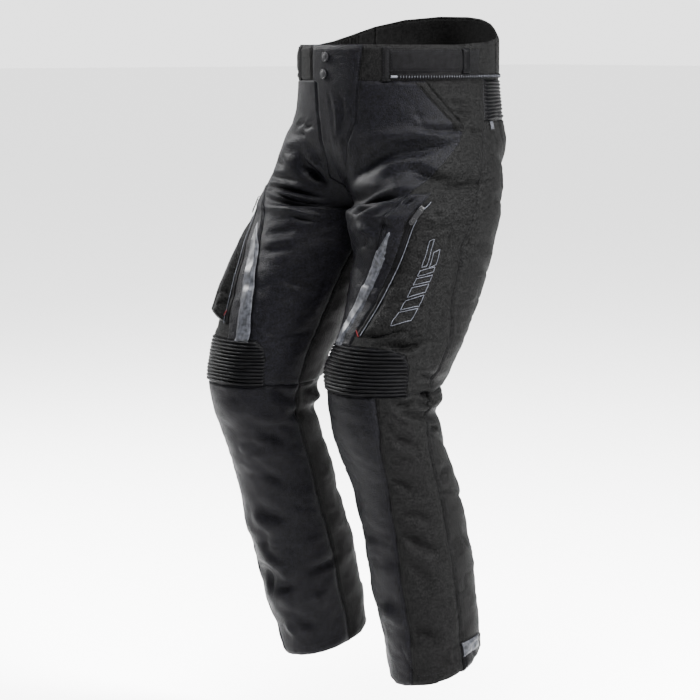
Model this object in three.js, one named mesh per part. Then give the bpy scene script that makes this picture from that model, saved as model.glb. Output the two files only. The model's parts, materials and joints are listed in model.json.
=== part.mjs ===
import * as THREE from 'three'

// Motorcycle trousers, filled out but worn by no one, in millimetres, +Z up.
// The wearer faces -Y with the left leg at +X. The origin is the middle of the waist opening.
// A place on the cloth is a side (1 left, -1 right), a share u and a level. On the body u runs from
// the front centre at 0 round the side at 0.5 to the back centre at 1. On a leg it runs from
// the inseam at 0 over the front and the outer side to the inseam again at 1.

// Driving sizes
const cloth = 2 // outer cloth with its membrane
const trimCloth = 1.3 // straps, strips and pocket cloth
const liningCloth = 1
const reflectiveFilm = 0.8
const seamGap = 0.4 // between two cut pieces at a seam
const layerGap = 0.6 // under a piece that lies on a panel
const stripMargin = 0.5 // between the edge of a piece that lies on a panel and its seam
const clothAcross = 580 // cloth between u = 0 and u = 1
const bandTop = 28
const bandBottom = -27
const stretchBottom = -90
const hipLevel = -125 // here the body starts to part into legs
const crotchLevel = -235
const kneeSeam = { 1: -513, '-1': -520 }
const kneeHeight = 70
const hemLevel = -989
const kneeRibs = 13
const seatRibs = 9
const ribHeight = 2.4
const cargoDepth = { 1: 6, '-1': 15 }
const weltWidth = 13
const zipWidth = 8
const tapeHeight = 1
const teethHeight = 2
const tapeHalf = 3.5 // half the height of the jacket zip's tape
const jacketZipTop = -17
const slider = { width: 9, length: 13, plate: 2, rail: 2.2, railWidth: 1.7, hingeDrop: 4.5 }
const pull = { neckWidth: 4.8, neckLength: 3.5, width: 8, length: 26, thick: 1.6 }
const sliderGap = 0.2
const snap = { radius: 8, rim: 1.2, height: 3.2 }
const snapSeat = 0.6
const snapSides = 20
const liningGap = 0.8
const liningDrop = 2
const liningLevels = [22, -2, -26]
const gatherFrom = 0.4
const gatherTo = 0.61
const gatherCount = 9
const gatherDepth = 1.5

const names = { 1: 'left', '-1': 'right' }

// A table holds one object for each row, with the columns named once
const table = (columns, rows) => {
  const keys = columns.split(' ')
  return rows.map(row => Object.fromEntries(keys.map((key, i) => [key, row[i]])))
}

// Sections of the body, from the waist down; the bulge is cloth pushed out over each thigh's front
const bodySections = table('level halfWidth front back bulgeLeft bulgeRight', [
  [80, 167, 158, 159, 0, 0],
  [28, 169, 160, 161, 0, 0],
  [-27, 170, 160, 161, 0, 0],
  [-75, 178, 158, 160, 1, 2],
  [-130, 193, 152, 163, 6, 26],
  [-180, 201, 142, 161, 10, 40],
  [-235, 204, 130, 156, 12, 46],
])

// Sections of each leg: inner and outer edge from the centre plane, and the middle and half of its
// depth from front to back
const legSections = {
  1: table('level inner outer middle half', [
    [-125, 0.4, 205, -36, 135],
    [-235, 0.4, 208, -36, 132],
    [-300, 5, 208, -41, 117],
    [-370, 9, 208, -60, 108],
    [-430, 15, 205, -88, 104],
    [-485, 20, 202, -115, 103],
    [-530, 24, 200, -128, 88],
    [-590, 28, 200, -119, 87],
    [-650, 33, 199, -95, 85],
    [-730, 37, 199, -70, 85],
    [-815, 42, 199, -52, 87],
    [-900, 50, 198, -38, 81],
    [-965, 55, 196, -27, 77],
    [-1000, 57, 195, -22, 75],
  ]),
  '-1': table('level inner outer middle half', [
    [-125, 0.4, 215, -36, 148],
    [-235, 0.4, 219, -36, 145],
    [-300, 7, 218, -88, 119],
    [-370, 14, 218, -127, 108],
    [-430, 26, 218, -150, 105],
    [-485, 36, 221, -170, 101],
    [-550, 46, 219, -180, 88],
    [-600, 49, 217, -167, 84],
    [-650, 52, 216, -147, 83],
    [-730, 56, 216, -122, 82],
    [-815, 61, 215, -91, 84],
    [-900, 68, 213, -67, 82],
    [-950, 71, 209, -50, 75],
    [-1000, 73, 206, -40, 72],
  ]),
}
const hemTilt = { 1: [0.08, 0.2], '-1': [0.12, 0.28] } // rise for each mm outwards and backwards
const tiltStart = -600
const legRoundness = 2.15 // 2 is an ellipse

// The largest folds: a ridge has a positive depth and a trough a negative one. The angle is in degrees,
// upwards as u grows; length, width and depth are in mm
const foldColumns = 'u level angle length width depth'
const folds = {
  1: table(foldColumns, [
    [0.16, -142, 12, 90, 13, -8],
    [0.3, -129, 3, 150, 12, -7],
    [0.25, -113, 2, 190, 12, 4],
    [0.17, -162, -3, 150, 14, 8],
    [0.3, -176, -26, 80, 12, 5],
    [0.35, -165, -20, 110, 10, -6],
    [0.46, -184, -4, 170, 11, -7],
    [0.2, -187, -7, 170, 13, -6],
    [0.245, -256, 25, 70, 13, 6],
    [0.18, -300, 40, 90, 14, -5],
    [0.4, -432, 10, 110, 12, -6],
    [0.5, -470, 20, 70, 12, 4],
    [0.56, -500, -10, 130, 11, -8],
    [0.6, -528, 3, 170, 11, 7],
    [0.6, -550, -3, 190, 11, -7],
    [0.78, -505, 4, 150, 12, -7],
    [0.8, -530, -4, 160, 12, 6],
    [0.44, -590, -26, 80, 13, -4],
    [0.4, -655, -28, 80, 14, -4],
    [0.4, -712, -16, 90, 14, -4],
    [0.4, -756, -29, 110, 15, -5],
    [0.39, -812, -34, 80, 15, -4],
    [0.36, -904, -15, 110, 15, -5],
    [0.22, -772, 30, 90, 16, 4],
    [0.24, -874, 30, 90, 16, 4],
    [0.7, -150, -12, 130, 15, -5],
    [0.78, -255, 8, 150, 15, -6],
    [0.75, -620, -20, 120, 15, -4],
    [0.72, -760, 18, 120, 16, -5],
    [0.8, -880, -14, 120, 16, -5],
  ]),
  '-1': table(foldColumns, [
    [0.17, -138, 4, 90, 13, 6],
    [0.1, -146, 20, 80, 12, -6],
    [0.19, -193, -6, 150, 12, 6],
    [0.19, -212, 2, 140, 12, -7],
    [0.18, -236, 14, 130, 12, 5],
    [0.14, -118, 10, 100, 12, -4],
    [0.41, -166, -8, 150, 12, -5],
    [0.42, -130, 4, 150, 13, -5],
    [0.9, -530, -2, 150, 11, -7],
    [0.9, -548, 4, 150, 11, 8],
    [0.9, -568, 4, 150, 11, -7],
    [0.62, -505, -6, 160, 12, -7],
    [0.62, -532, 5, 160, 12, 6],
    [0.3, -766, 12, 110, 16, 5],
    [0.21, -818, 20, 120, 16, 5],
    [0.25, -845, 14, 110, 14, -5],
    [0.23, -882, 16, 120, 15, 5],
    [0.17, -916, 30, 110, 15, -5],
    [0.42, -640, -24, 90, 14, -4],
    [0.4, -720, -20, 100, 14, -5],
    [0.7, -150, -12, 130, 15, -5],
    [0.78, -262, 8, 150, 15, -6],
    [0.76, -640, -20, 120, 15, -4],
    [0.72, -780, 18, 120, 16, -5],
  ]),
}

// Seam lines: the share u of each seam at a level
const flySeam = table('level u', [[28, 0.149], [-88, 0.116], [-128, 0.077], [-150, 0.056], [-157, 0.004],
  [-174, 0]])
const flyEdge = table('level u', [[28, 0.064], [-26, 0.06], [-30, 0.035], [-128, 0.021], [-150, 0.038],
  [-157, 0.004], [-174, 0]])
const frontSeam = table('level left right', [
  [-27, 0.34, 0.34],
  [-59, 0.39, 0.39],
  [-99, 0.455, 0.455],
  [-128, 0.42, 0.42],
  [-157, 0.385, 0.38],
  [-192, 0.333, 0.31],
  [-262, 0.302, 0.266],
  [-443, 0.18, 0.18],
  [-520, 0.18, 0.18],
])
const zipLine = table('level left right', [
  [-27, 0.4, 0.4],
  [-99, 0.485, 0.485],
  [-128, 0.46, 0.46],
  [-192, 0.405, 0.375],
  [-212, 0.396, 0.355],
  [-318, 0.329, 0.302],
  [-424, 0.268, 0.272],
  [-443, 0.262, 0.262],
  [-520, 0.262, 0.262],
])
const sideSeam = table('level u', [
  [-27, 0.578],
  [-90, 0.556],
  [-108, 0.532],
  [-192, 0.522],
  [-236, 0.514],
  [-290, 0.49],
  [-374, 0.488],
  [-430, 0.53],
  [-540, 0.53],
  [-635, 0.504],
  [-700, 0.5],
  [-1010, 0.5],
])
const shinSeam = table('level u', [[-505, 0.362], [-563, 0.37], [-635, 0.348], [-700, 0.33], [-910, 0.32],
  [-1010, 0.29]])

// The rounded ends of the knee rib, from the knee seam upwards
const kneeInner = table('rise u', [[0, 0.105], [41, 0.113], [60, 0.13], [kneeHeight, 0.155]])
const kneeOuter = table('rise u', [[0, 0.455], [41, 0.44], [60, 0.415], [kneeHeight, 0.385]])
const kneeArch = [...kneeInner, ...kneeOuter.toReversed()]

// How far the hem and the back of the waist rise above their lowest line
const hemRise = table('u rise', [[0, 0], [0.42, 1], [0.5, 5], [0.6, 19], [0.7, 19], [0.85, 6], [1, 0]])
const backRise = {
  1: table('u rise', [[0.45, 0], [0.6, 4], [0.7, 10], [0.78, 19], [0.86, 34], [0.93, 42], [1, 46]]),
  '-1': table('u rise', [[0.42, 0], [0.5, 6], [0.57, 16], [0.66, 31], [0.76, 42], [0.88, 47], [1, 46]]),
}

// Rows of the thigh panels as levels; below the last one the rows fit the knee seam and the arch of its rib
const thighLevels = [bandBottom, -43, -59, -75, stretchBottom, -108, -128, -150, -157, -174, -192, -212, -236,
  -262, -290, -318, -346, -374, -400, -424]
const rowsToKnee = 4
const backRow = thighLevels.indexOf(stretchBottom)
const stripRow = thighLevels.indexOf(-192)
const zipRow = thighLevels.indexOf(-212)
const wedgeRow = thighLevels.indexOf(-262)
const pocketEndRow = thighLevels.indexOf(-424)
const sliderRow = zipRow + 0.35
const shinDrops = [0, 14, 30, 48, 68, 92, 120, 153, 188, 224, 260, 296, 332, 366, 398, 425, 445]
const shinLength = 475

// Columns, as the share u that each has at the knee or at the waist
const frontPlaces = [0, 0.035, 0.07, 0.105, 0.113, 0.13, 0.155, 0.18]
const stripPlaces = [0.18, 0.225, 0.262]
const pocketPlaces = [0.262, 0.3, 0.34, 0.385, 0.415, 0.44, 0.455]
const zipColumn = stripPlaces.length - 1
const backColumns = 11 // of the seat and back thigh, and of the calf under it
const kneeColumns = 8
const seatColumns = 14
const gussetColumns = 3
const tabColumns = 2
const loopPlaces = { 1: [0.212, 0.235], '-1': [0.15, 0.19] }
const bandPlaces = { 1: [0.18, 0.212], '-1': [0.105, 0.15, 0.19] }
const strapPlaces = [0.235, 0.275, 0.315, 0.355, 0.395, 0.435, 0.471, 0.497, 0.546, 0.6, 0.66]
const keeperStart = 0.471
const strapTip = 0.546
const backPlaces = [0.66, 0.71, 0.76, 0.81, 0.86, 0.91, 0.955, 1]
const bandLevels = [21, 4, -13, bandBottom]
const strapRows = [2, 3, 4]

// Straight interpolation in a table, by one column for another
function read(rows, from, value, to) {
  const rising = rows[0][from] < rows.at(-1)[from]
  const ordered = rising ? rows : rows.toReversed()
  const last = ordered.length - 2
  let i = 0
  while (i < last && ordered[i + 1][from] < value) i += 1
  const a = ordered[i]
  const b = ordered[i + 1]
  const share = THREE.MathUtils.clamp((value - a[from]) / (b[from] - a[from]), 0, 1)
  return a[to] + (b[to] - a[to]) * share
}

// Smooth interpolation in a table by level, which never swings past its rows
function smooth(rows, level, column) {
  const ordered = rows.toReversed()
  const clamped = THREE.MathUtils.clamp(level, ordered[0].level, ordered.at(-1).level)
  let i = 0
  while (i < ordered.length - 2 && ordered[i + 1].level < clamped) i += 1
  const slope = k => {
    const inside = Math.min(Math.max(k, 0), ordered.length - 2)
    const a = ordered[inside]
    const b = ordered[inside + 1]
    return (b[column] - a[column]) / (b.level - a.level)
  }
  const tangent = k => {
    if (k === 0 || k === ordered.length - 1) return slope(k)
    const before = slope(k - 1)
    const after = slope(k)
    return before * after > 0 ? 2 * before * after / (before + after) : 0
  }
  const a = ordered[i]
  const b = ordered[i + 1]
  const span = b.level - a.level
  const t = (clamped - a.level) / span
  const hold = 2 * t ** 3 - 3 * t ** 2 + 1
  return hold * a[column] + (1 - hold) * b[column] +
    span * ((t ** 3 - 2 * t ** 2 + t) * tangent(i) + (t ** 3 - t ** 2) * tangent(i + 1))
}

const rounded = (value, roundness) => Math.sign(value) * Math.abs(value) ** (2 / roundness)

// Half of the body's ring at a level
function bodyPoint(side, u, level) {
  const section = column => smooth(bodySections, Math.max(level, crotchLevel), column)
  const turn = Math.PI * u
  const depth = section(u < 0.5 ? 'front' : 'back')
  const bulge = section(side > 0 ? 'bulgeLeft' : 'bulgeRight') * Math.sin(2 * turn) ** 2
  return new THREE.Vector3(
    side * section('halfWidth') * Math.sin(turn),
    -depth * Math.cos(turn) - (u < 0.5 ? bulge : 0),
    level,
  )
}

// The whole ring of one leg at a level
function legPoint(side, u, level) {
  const section = column => smooth(legSections[side], Math.min(level, hipLevel), column)
  const turn = 2 * Math.PI * u
  const inner = section('inner')
  const outer = section('outer')
  return new THREE.Vector3(
    side * ((inner + outer) / 2 - (outer - inner) / 2 * rounded(Math.cos(turn), legRoundness)),
    section('middle') - section('half') * rounded(Math.sin(turn), legRoundness),
    level,
  )
}

// The garment without folds: the body blends into two legs between the hip and the crotch
function plainPoint(side, u, level) {
  const share = THREE.MathUtils.clamp((hipLevel - level) / (hipLevel - crotchLevel), 0, 1)
  const point = bodyPoint(side, u, level).lerp(legPoint(side, u, level), share)
  if (share > 0 && share < 1) {
    const hips = Math.sin(Math.PI * u) ** 2
    const height = hipLevel - crotchLevel
    point.z = crotchLevel + height * ((1 - share) * hips + (1 - share) ** 3 * (1 - hips))
  }
  const drop = THREE.MathUtils.smoothstep(-level, -tiltStart, -hemLevel)
  const middle = smooth(legSections[side], level, 'middle')
  const centre = (smooth(legSections[side], level, 'inner') + smooth(legSections[side], level, 'outer')) / 2
  point.z += drop * (hemTilt[side][0] * (point.x - side * centre) + hemTilt[side][1] * (point.y - middle))
  return point
}

// How far the folds move the cloth out at a place, fading towards the centre seams
function foldDepth(side, u, level) {
  let depth = 0
  for (const fold of folds[side]) {
    const angle = THREE.MathUtils.degToRad(fold.angle)
    const around = (u - fold.u) * clothAcross
    const up = level - fold.level
    const along = (around * Math.cos(angle) + up * Math.sin(angle)) / (fold.length / 2)
    const across = (up * Math.cos(angle) - around * Math.sin(angle)) / fold.width
    if (Math.abs(along) < 1) depth += fold.depth * (1 - along ** 2) ** 2 * Math.exp(-(across ** 2))
  }
  const nearSeam = Math.min(u, 1 - u) / 0.05
  const nearCrotch = THREE.MathUtils.smoothstep(level, -420, -300)
  return depth * (1 - nearCrotch * (1 - THREE.MathUtils.smoothstep(nearSeam, 0, 1)))
}

const stepAcross = 0.004
const stepUp = 2

function normalOf(shape, side, u, level) {
  const across = shape(side, u + stepAcross, level).sub(shape(side, u - stepAcross, level))
  const up = shape(side, u, level + stepUp).sub(shape(side, u, level - stepUp))
  return across.cross(up).multiplyScalar(side).normalize()
}

function foldedPoint(side, u, level) {
  const normal = normalOf(plainPoint, side, u, level)
  return plainPoint(side, u, level).addScaledVector(normal, foldDepth(side, u, level))
}

// A place on the outer face of the cloth, with the way out of it. A u beyond the front or back centre
// carries on round the other side
function clothSpot(side, u, level) {
  if (u < 0) return clothSpot(-side, -u, level)
  if (u > 1) return clothSpot(-side, 2 - u, level)
  return { point: foldedPoint(side, u, level), normal: normalOf(foldedPoint, side, u, level) }
}

// A grid of cloth spots; place gives the share u and the level of a column and a row
function clothGrid(side, columns, rows, place) {
  const spots = []
  for (let row = 0; row <= rows; row += 1) {
    const line = []
    for (let column = 0; column <= columns; column += 1) line.push(clothSpot(side, ...place(column, row)))
    spots.push(line)
  }
  return { columns, rows, spots }
}

function mixSpots(a, b, share) {
  return { point: a.point.clone().lerp(b.point, share), normal: a.normal.clone().lerp(b.normal, share) }
}

// The spot at a column and row that may lie between the grid's own
function spotAt(grid, column, row) {
  const i = Math.min(Math.max(Math.floor(column), 0), grid.columns - 1)
  const j = Math.min(Math.max(Math.floor(row), 0), grid.rows - 1)
  const upper = mixSpots(grid.spots[j][i], grid.spots[j][i + 1], column - i)
  const lower = mixSpots(grid.spots[j + 1][i], grid.spots[j + 1][i + 1], column - i)
  const spot = mixSpots(upper, lower, row - j)
  spot.normal.normalize()
  return spot
}

// The spot that lies some mm across and down from a column and row, each measured square to the other
function shiftedSpot(grid, column, row, across, down) {
  const here = spotAt(grid, column, row).point
  const columnStep = across < 0 || column >= grid.columns ? -1 : 1
  const rowStep = down < 0 || row >= grid.rows ? -1 : 1
  const alongRow = spotAt(grid, column + columnStep, row).point.sub(here)
  const alongColumn = spotAt(grid, column, row + rowStep).point.sub(here)
  const area = alongRow.clone().cross(alongColumn).length()
  const columnShift = across * alongColumn.length() / area
  const rowShift = down * alongRow.length() / area
  return spotAt(grid, column + columnShift, row + rowShift)
}

// One closed wall over lines of spots: lift and floor are the heights of its outer and inner face above them
function wallGeometry(lines, lift, floor) {
  const rows = lines.length
  const columns = lines[0].length
  const count = rows * columns
  const positions = new Float32Array(count * 6)
  lines.forEach((line, j) => line.forEach((spot, i) => {
    const outer = spot.point.clone().addScaledVector(spot.normal, lift(i, j))
    const inner = spot.point.clone().addScaledVector(spot.normal, floor(i, j))
    outer.toArray(positions, (j * columns + i) * 3)
    inner.toArray(positions, (count + j * columns + i) * 3)
  }))
  const faces = []
  const quad = (a, b, c, d) => faces.push(a, b, c, a, c, d)
  for (let j = 0; j < rows - 1; j += 1) {
    for (let i = 0; i < columns - 1; i += 1) {
      const a = j * columns + i
      quad(a, a + columns, a + columns + 1, a + 1)
      quad(count + a, count + a + 1, count + a + columns + 1, count + a + columns)
    }
  }
  // The cut edges are split so that two panels that meet at a seam are split alike
  const rim = (here, next) => faces.push(here, next, count + next, here, count + next, count + here)
  const rimBack = (here, next) => faces.push(here, next, count + here, next, count + next, count + here)
  const last = columns - 1
  const lowest = (rows - 1) * columns
  for (let i = 0; i < last; i += 1) {
    rim(i, i + 1)
    rimBack(lowest + i + 1, lowest + i)
  }
  for (let j = 0; j < rows - 1; j += 1) {
    rim(j * columns + last, (j + 1) * columns + last)
    rimBack((j + 1) * columns, j * columns)
  }
  return outward(positions, faces)
}

// Turns every face outwards by the sign of the enclosed volume
function outward(positions, faces) {
  const at = index => new THREE.Vector3().fromArray(positions, index * 3)
  let volume = 0
  for (let k = 0; k < faces.length; k += 3) {
    volume += at(faces[k]).dot(at(faces[k + 1]).cross(at(faces[k + 2])))
  }
  if (volume < 0) faces.reverse()
  const geometry = new THREE.BufferGeometry()
  geometry.setAttribute('position', new THREE.BufferAttribute(positions, 3))
  geometry.setIndex(faces)
  geometry.computeVertexNormals()
  return geometry
}

// The lines of spots of a piece cut from a grid, at some of its columns and rows. The margins, in mm,
// are left free at its first column, last column, first row and last row
function cutLines(grid, columns, rows, margins) {
  const [first, last, top, bottom] = margins
  return rows.map((row, j) => {
    const down = j === 0 ? top : j === rows.length - 1 ? -bottom : 0
    return columns.map((column, i) => {
      const across = i === 0 ? first : i === columns.length - 1 ? -last : 0
      return shiftedSpot(grid, column, row, across, down)
    })
  })
}

const through = (from, to) => Array.from({ length: to - from + 1 }, (_, i) => from + i)

function materialOf(color, roughness, metalness = 0) {
  return new THREE.MeshStandardMaterial({ color, roughness, metalness })
}

const materials = {
  smoothCloth: materialOf(0x26272b, 0.72),
  coarseCloth: materialOf(0x222326, 0.88),
  stretch: materialOf(0x17181a, 0.8),
  lining: materialOf(0x1d1d1f, 0.85),
  strap: materialOf(0x242528, 0.8),
  reflective: materialOf(0x9fa3aa, 0.5),
  zipTape: materialOf(0x3a3b3e, 0.6),
  zipMetal: materialOf(0x1b1b1d, 0.35, 0.6),
  snapMetal: materialOf(0x2b2c31, 0.35, 0.6),
}

const group = new THREE.Group()

function addPiece(name, geometry, material) {
  const mesh = new THREE.Mesh(geometry, materials[material])
  mesh.name = name
  group.add(mesh)
  return mesh
}

const seamMargins = [seamGap / 2, seamGap / 2, seamGap / 2, seamGap / 2]
const stripMargins = [stripMargin, stripMargin, stripMargin, stripMargin]
const keeperMargins = [1, 1, -1, -1]
const secondBase = 2 * layerGap + trimCloth // under a piece that lies on another such piece
const filmOnLayer = { base: secondBase, thickness: reflectiveFilm }
const atRest = () => 0

// A panel of the outer cloth, cut from a whole grid
function addPanel(name, material, grid, lift = atRest) {
  const lines = cutLines(grid, through(0, grid.columns), through(0, grid.rows), seamMargins)
  addPiece(name, wallGeometry(lines, lift, () => -cloth), material)
}

// A piece that lies on a panel, made from the panel's points moved out: base is the height under it
function addLayer(name, material, lines, { base = layerGap, thickness = trimCloth, bulge = atRest } = {}) {
  const floor = (i, j) => base + bulge(i, j)
  const lift = (i, j) => floor(i, j) + thickness
  addPiece(name, wallGeometry(lines, lift, floor), material)
}

const mix = THREE.MathUtils.lerp
const seamAt = (rows, level, column = 'u') => read(rows, 'level', level, column)
const sharesOf = places => places.map(place => (place - places[0]) / (places.at(-1) - places[0]))

// The level of a thigh row in a column that ends at low
function thighLevel(row, low) {
  const free = thighLevels.length - 1
  if (row <= free) return thighLevels[row]
  return mix(thighLevels[free], low, (row - free) / rowsToKnee)
}

// The lower end of a thigh column: over the knee rib it is the arch, elsewhere the knee seam
function thighEnd(side, u) {
  const inside = u > kneeArch[0].u && u < kneeArch.at(-1).u
  return kneeSeam[side] + (inside ? read(kneeArch, 'u', u, 'rise') : 0)
}

// A thigh panel from one of its rows down; placeOf gives the share u of a column at a level
function thighGrid(side, columns, placeOf, firstRow = 0) {
  const rows = thighLevels.length - 1 + rowsToKnee - firstRow
  return clothGrid(side, columns, rows, (column, row) => {
    const low = thighEnd(side, placeOf(column, kneeSeam[side]))
    const level = thighLevel(row + firstRow, low)
    return [placeOf(column, level), level]
  })
}

function frontThighGrid(side) {
  const shares = sharesOf(frontPlaces)
  const inner = level => side < 0 ? seamAt(flyEdge, level) : seamAt(flySeam, level)
  return thighGrid(side, shares.length - 1, (column, level) =>
    mix(inner(level), seamAt(frontSeam, level, names[side]), shares[column]))
}

function sideThighGrid(side) {
  const strip = sharesOf(stripPlaces)
  const pocket = sharesOf([...pocketPlaces, seamAt(sideSeam, kneeSeam[side])])
  return thighGrid(side, zipColumn + pocket.length - 1, (column, level) => {
    const zip = seamAt(zipLine, level, names[side])
    if (column <= zipColumn) return mix(seamAt(frontSeam, level, names[side]), zip, strip[column])
    return mix(zip, seamAt(sideSeam, level), pocket[column - zipColumn])
  })
}

function backThighGrid(side) {
  const placeOf = (column, level) => mix(seamAt(sideSeam, level), 1, column / backColumns)
  return thighGrid(side, backColumns, placeOf, backRow)
}

// A shin panel between two seams; its last row follows the hem
function shinGrid(side, shares, from, to) {
  const levels = shinDrops.map(drop => kneeSeam[side] - drop * (kneeSeam[side] - hemLevel) / shinLength)
  return clothGrid(side, shares.length - 1, levels.length, (column, row) => {
    const level = levels[Math.min(row, levels.length - 1)]
    const u = mix(from(level), to(level), shares[column])
    return [u, row < levels.length ? level : hemLevel + read(hemRise, 'u', u, 'rise')]
  })
}

// Ribs along the rows: every second row stands out, but not at the edges of the piece
const ribs = grid => (i, j) => {
  const edge = i === 0 || i === grid.columns || j === 0 || j === grid.rows
  return edge || j % 2 === 0 ? 0 : ribHeight
}

function addKneeRib(side) {
  const rows = kneeRibs * 2
  const grid = clothGrid(side, kneeColumns, rows, (column, row) => {
    const rise = kneeHeight * (1 - row / rows)
    const inner = read(kneeInner, 'rise', rise, 'u')
    const outer = read(kneeOuter, 'rise', rise, 'u')
    return [mix(inner, outer, column / kneeColumns), kneeSeam[side] + rise]
  })
  addPanel(`knee_rib_${names[side]}`, 'stretch', grid, ribs(grid))
}

// The reflective wedge lies on the pocket strip, and the strip on the side thigh
function addPocketStrip(side, grid) {
  const margins = [stripMargin, zipWidth / 2 + stripMargin, stripMargin, stripMargin]
  const strip = cutLines(grid, through(0, zipColumn), through(stripRow, grid.rows), margins)
  addLayer(`pocket_strip_${names[side]}`, 'smoothCloth', strip)
  const wedgeMargins = [stripMargin, stripMargin, stripMargin, 2 * stripMargin]
  const wedge = cutLines(grid, [0, 1], through(wedgeRow, grid.rows), wedgeMargins)
  addLayer(`reflective_wedge_${names[side]}`, 'reflective', wedge, filmOnLayer)
}

// The pocket swells from the zip outwards and towards its lower end, as bellows do
function addCargoPocket(side, grid) {
  const columns = through(zipColumn, grid.columns - 1)
  const rows = through(zipRow, pocketEndRow)
  const margins = [zipWidth / 2 + stripMargin, stripMargin, stripMargin, stripMargin]
  const bulge = (i, j) => {
    if (i === 0 || i === columns.length - 1 || j === rows.length - 1) return 0
    return cargoDepth[side] * Math.min(j / (rows.length - 2), 1)
  }
  const lines = cutLines(grid, columns, rows, margins)
  addLayer(`cargo_pocket_${names[side]}`, 'coarseCloth', lines, { bulge })
}

// The tape with its closed teeth as one low ridge along the zip line
function addPocketZip(side, grid) {
  const lines = through(zipRow, pocketEndRow).map(row => [-zipWidth / 2, 0, zipWidth / 2].map(across =>
    shiftedSpot(grid, zipColumn, row, across, 0)))
  const lift = i => layerGap + (i === 1 ? teethHeight : tapeHeight)
  addPiece(`pocket_zip_${names[side]}`, wallGeometry(lines, lift, () => layerGap), 'zipTape')
}

// Turns and places a mesh so that its X runs across the zip, its Y up along it and its Z out of the cloth
function layOn(mesh, point, out, up) {
  const across = up.clone().cross(out).normalize()
  mesh.quaternion.setFromRotationMatrix(new THREE.Matrix4().makeBasis(across, out.clone().cross(across), out))
  mesh.position.copy(point)
}

function outlineShape(points) {
  return new THREE.Shape(points.map(([x, y]) => new THREE.Vector2(x, y)))
}

// The slider is a plate with two rails that the pull's neck lies between
function sliderGeometry() {
  const { width, length, plate, rail, railWidth } = slider
  const half = width / 2
  const channel = half - railWidth
  const section = outlineShape([[-half, 0], [half, 0], [half, plate + rail], [channel, plate + rail],
    [channel, plate], [-channel, plate], [-channel, plate + rail], [-half, plate + rail]])
  const geometry = new THREE.ExtrudeGeometry(section, { depth: length, bevelEnabled: false })
  return geometry.rotateX(Math.PI / 2).translate(0, length / 2, 0)
}

// The pull hangs from its hinge at the origin, down along -Y
function pullGeometry() {
  const { neckWidth, neckLength, width, length, thick } = pull
  const neck = neckWidth / 2
  const half = width / 2
  const corner = half / 2
  const outline = outlineShape([[-neck, thick / 2], [-neck, -neckLength], [-half, -neckLength - corner],
    [-half, corner - length], [-corner, -length], [corner, -length], [half, corner - length],
    [half, -neckLength - corner], [neck, -neckLength], [neck, thick / 2]])
  return new THREE.ExtrudeGeometry(outline, { depth: thick, bevelEnabled: false }).translate(0, 0, -thick / 2)
}

function addSliderAndPull(side, grid) {
  const place = spotAt(grid, zipColumn, sliderRow)
  const below = spotAt(grid, zipColumn, sliderRow + 1)
  const out = place.normal.clone()
  const up = place.point.clone().sub(below.point).normalize()
  out.addScaledVector(up, -out.dot(up)).normalize()
  const foot = place.point.clone().addScaledVector(out, 2 * layerGap + teethHeight + sliderGap)
  layOn(addPiece(`zip_slider_${names[side]}`, sliderGeometry(), 'zipMetal'), foot, out, up)
  const hinge = foot.clone().addScaledVector(out, slider.plate + seamGap + pull.thick / 2)
    .addScaledVector(up, -slider.hingeDrop)
  layOn(addPiece(`zip_pull_${names[side]}`, pullGeometry(), 'zipMetal'), hinge, out, up)
}

// A line of the strip of cloth along the hand pocket's mouth
function addHandPocketWelt(side, grid) {
  const rows = [0.25, 1, 2, 3, 4, 4.4]
  const lines = rows.map(row => [shiftedSpot(grid, grid.columns, row, -weltWidth, 0),
    shiftedSpot(grid, grid.columns, row, -stripMargin, 0)])
  addLayer(`hand_pocket_welt_${names[side]}`, 'coarseCloth', lines)
}

function addShin(side) {
  const seam = level => seamAt(shinSeam, level)
  const outseam = level => seamAt(sideSeam, level)
  const evenShares = count => through(0, count).map(i => i / count)
  addPanel(`shin_${names[side]}`, 'smoothCloth', shinGrid(side, evenShares(9), () => 0, seam))
  addPanel(`shin_side_${names[side]}`, 'coarseCloth', shinGrid(side, evenShares(4), seam, outseam))
  const calf = shinGrid(side, evenShares(backColumns), outseam, () => 1)
  addPanel(`calf_${names[side]}`, 'coarseCloth', calf)
  const gussetRow = calf.rows - 2
  const gusset = cutLines(calf, through(0, gussetColumns), through(gussetRow, calf.rows), stripMargins)
  addLayer(`hem_gusset_${names[side]}`, 'stretch', gusset)
  const tabMargins = [2 * stripMargin, stripMargin, 2 * stripMargin, stripMargin]
  const tab = cutLines(calf, through(0, tabColumns), [gussetRow, gussetRow + 1], tabMargins)
  addLayer(`hem_tab_${names[side]}`, 'reflective', tab, filmOnLayer)
}

// The upper edge of the waistband, in one side's u that may run past the back centre
function bandEdge(side, u) {
  const [here, share] = u > 1 ? [-side, 2 - u] : [side, u]
  return bandTop + read(backRise[here], 'u', share, 'rise')
}

// Waistband rows from the upper edge to the lower one
function bandGrid(side, placeOf, columns) {
  return clothGrid(side, columns, bandLevels.length + 1, (column, row) => {
    const u = placeOf(column)
    const top = bandEdge(side, u)
    const level = row === 0 ? top : row === 1 ? mix(top, bandLevels[0], 0.5) : bandLevels[row - 2]
    return [u, level]
  })
}

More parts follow.
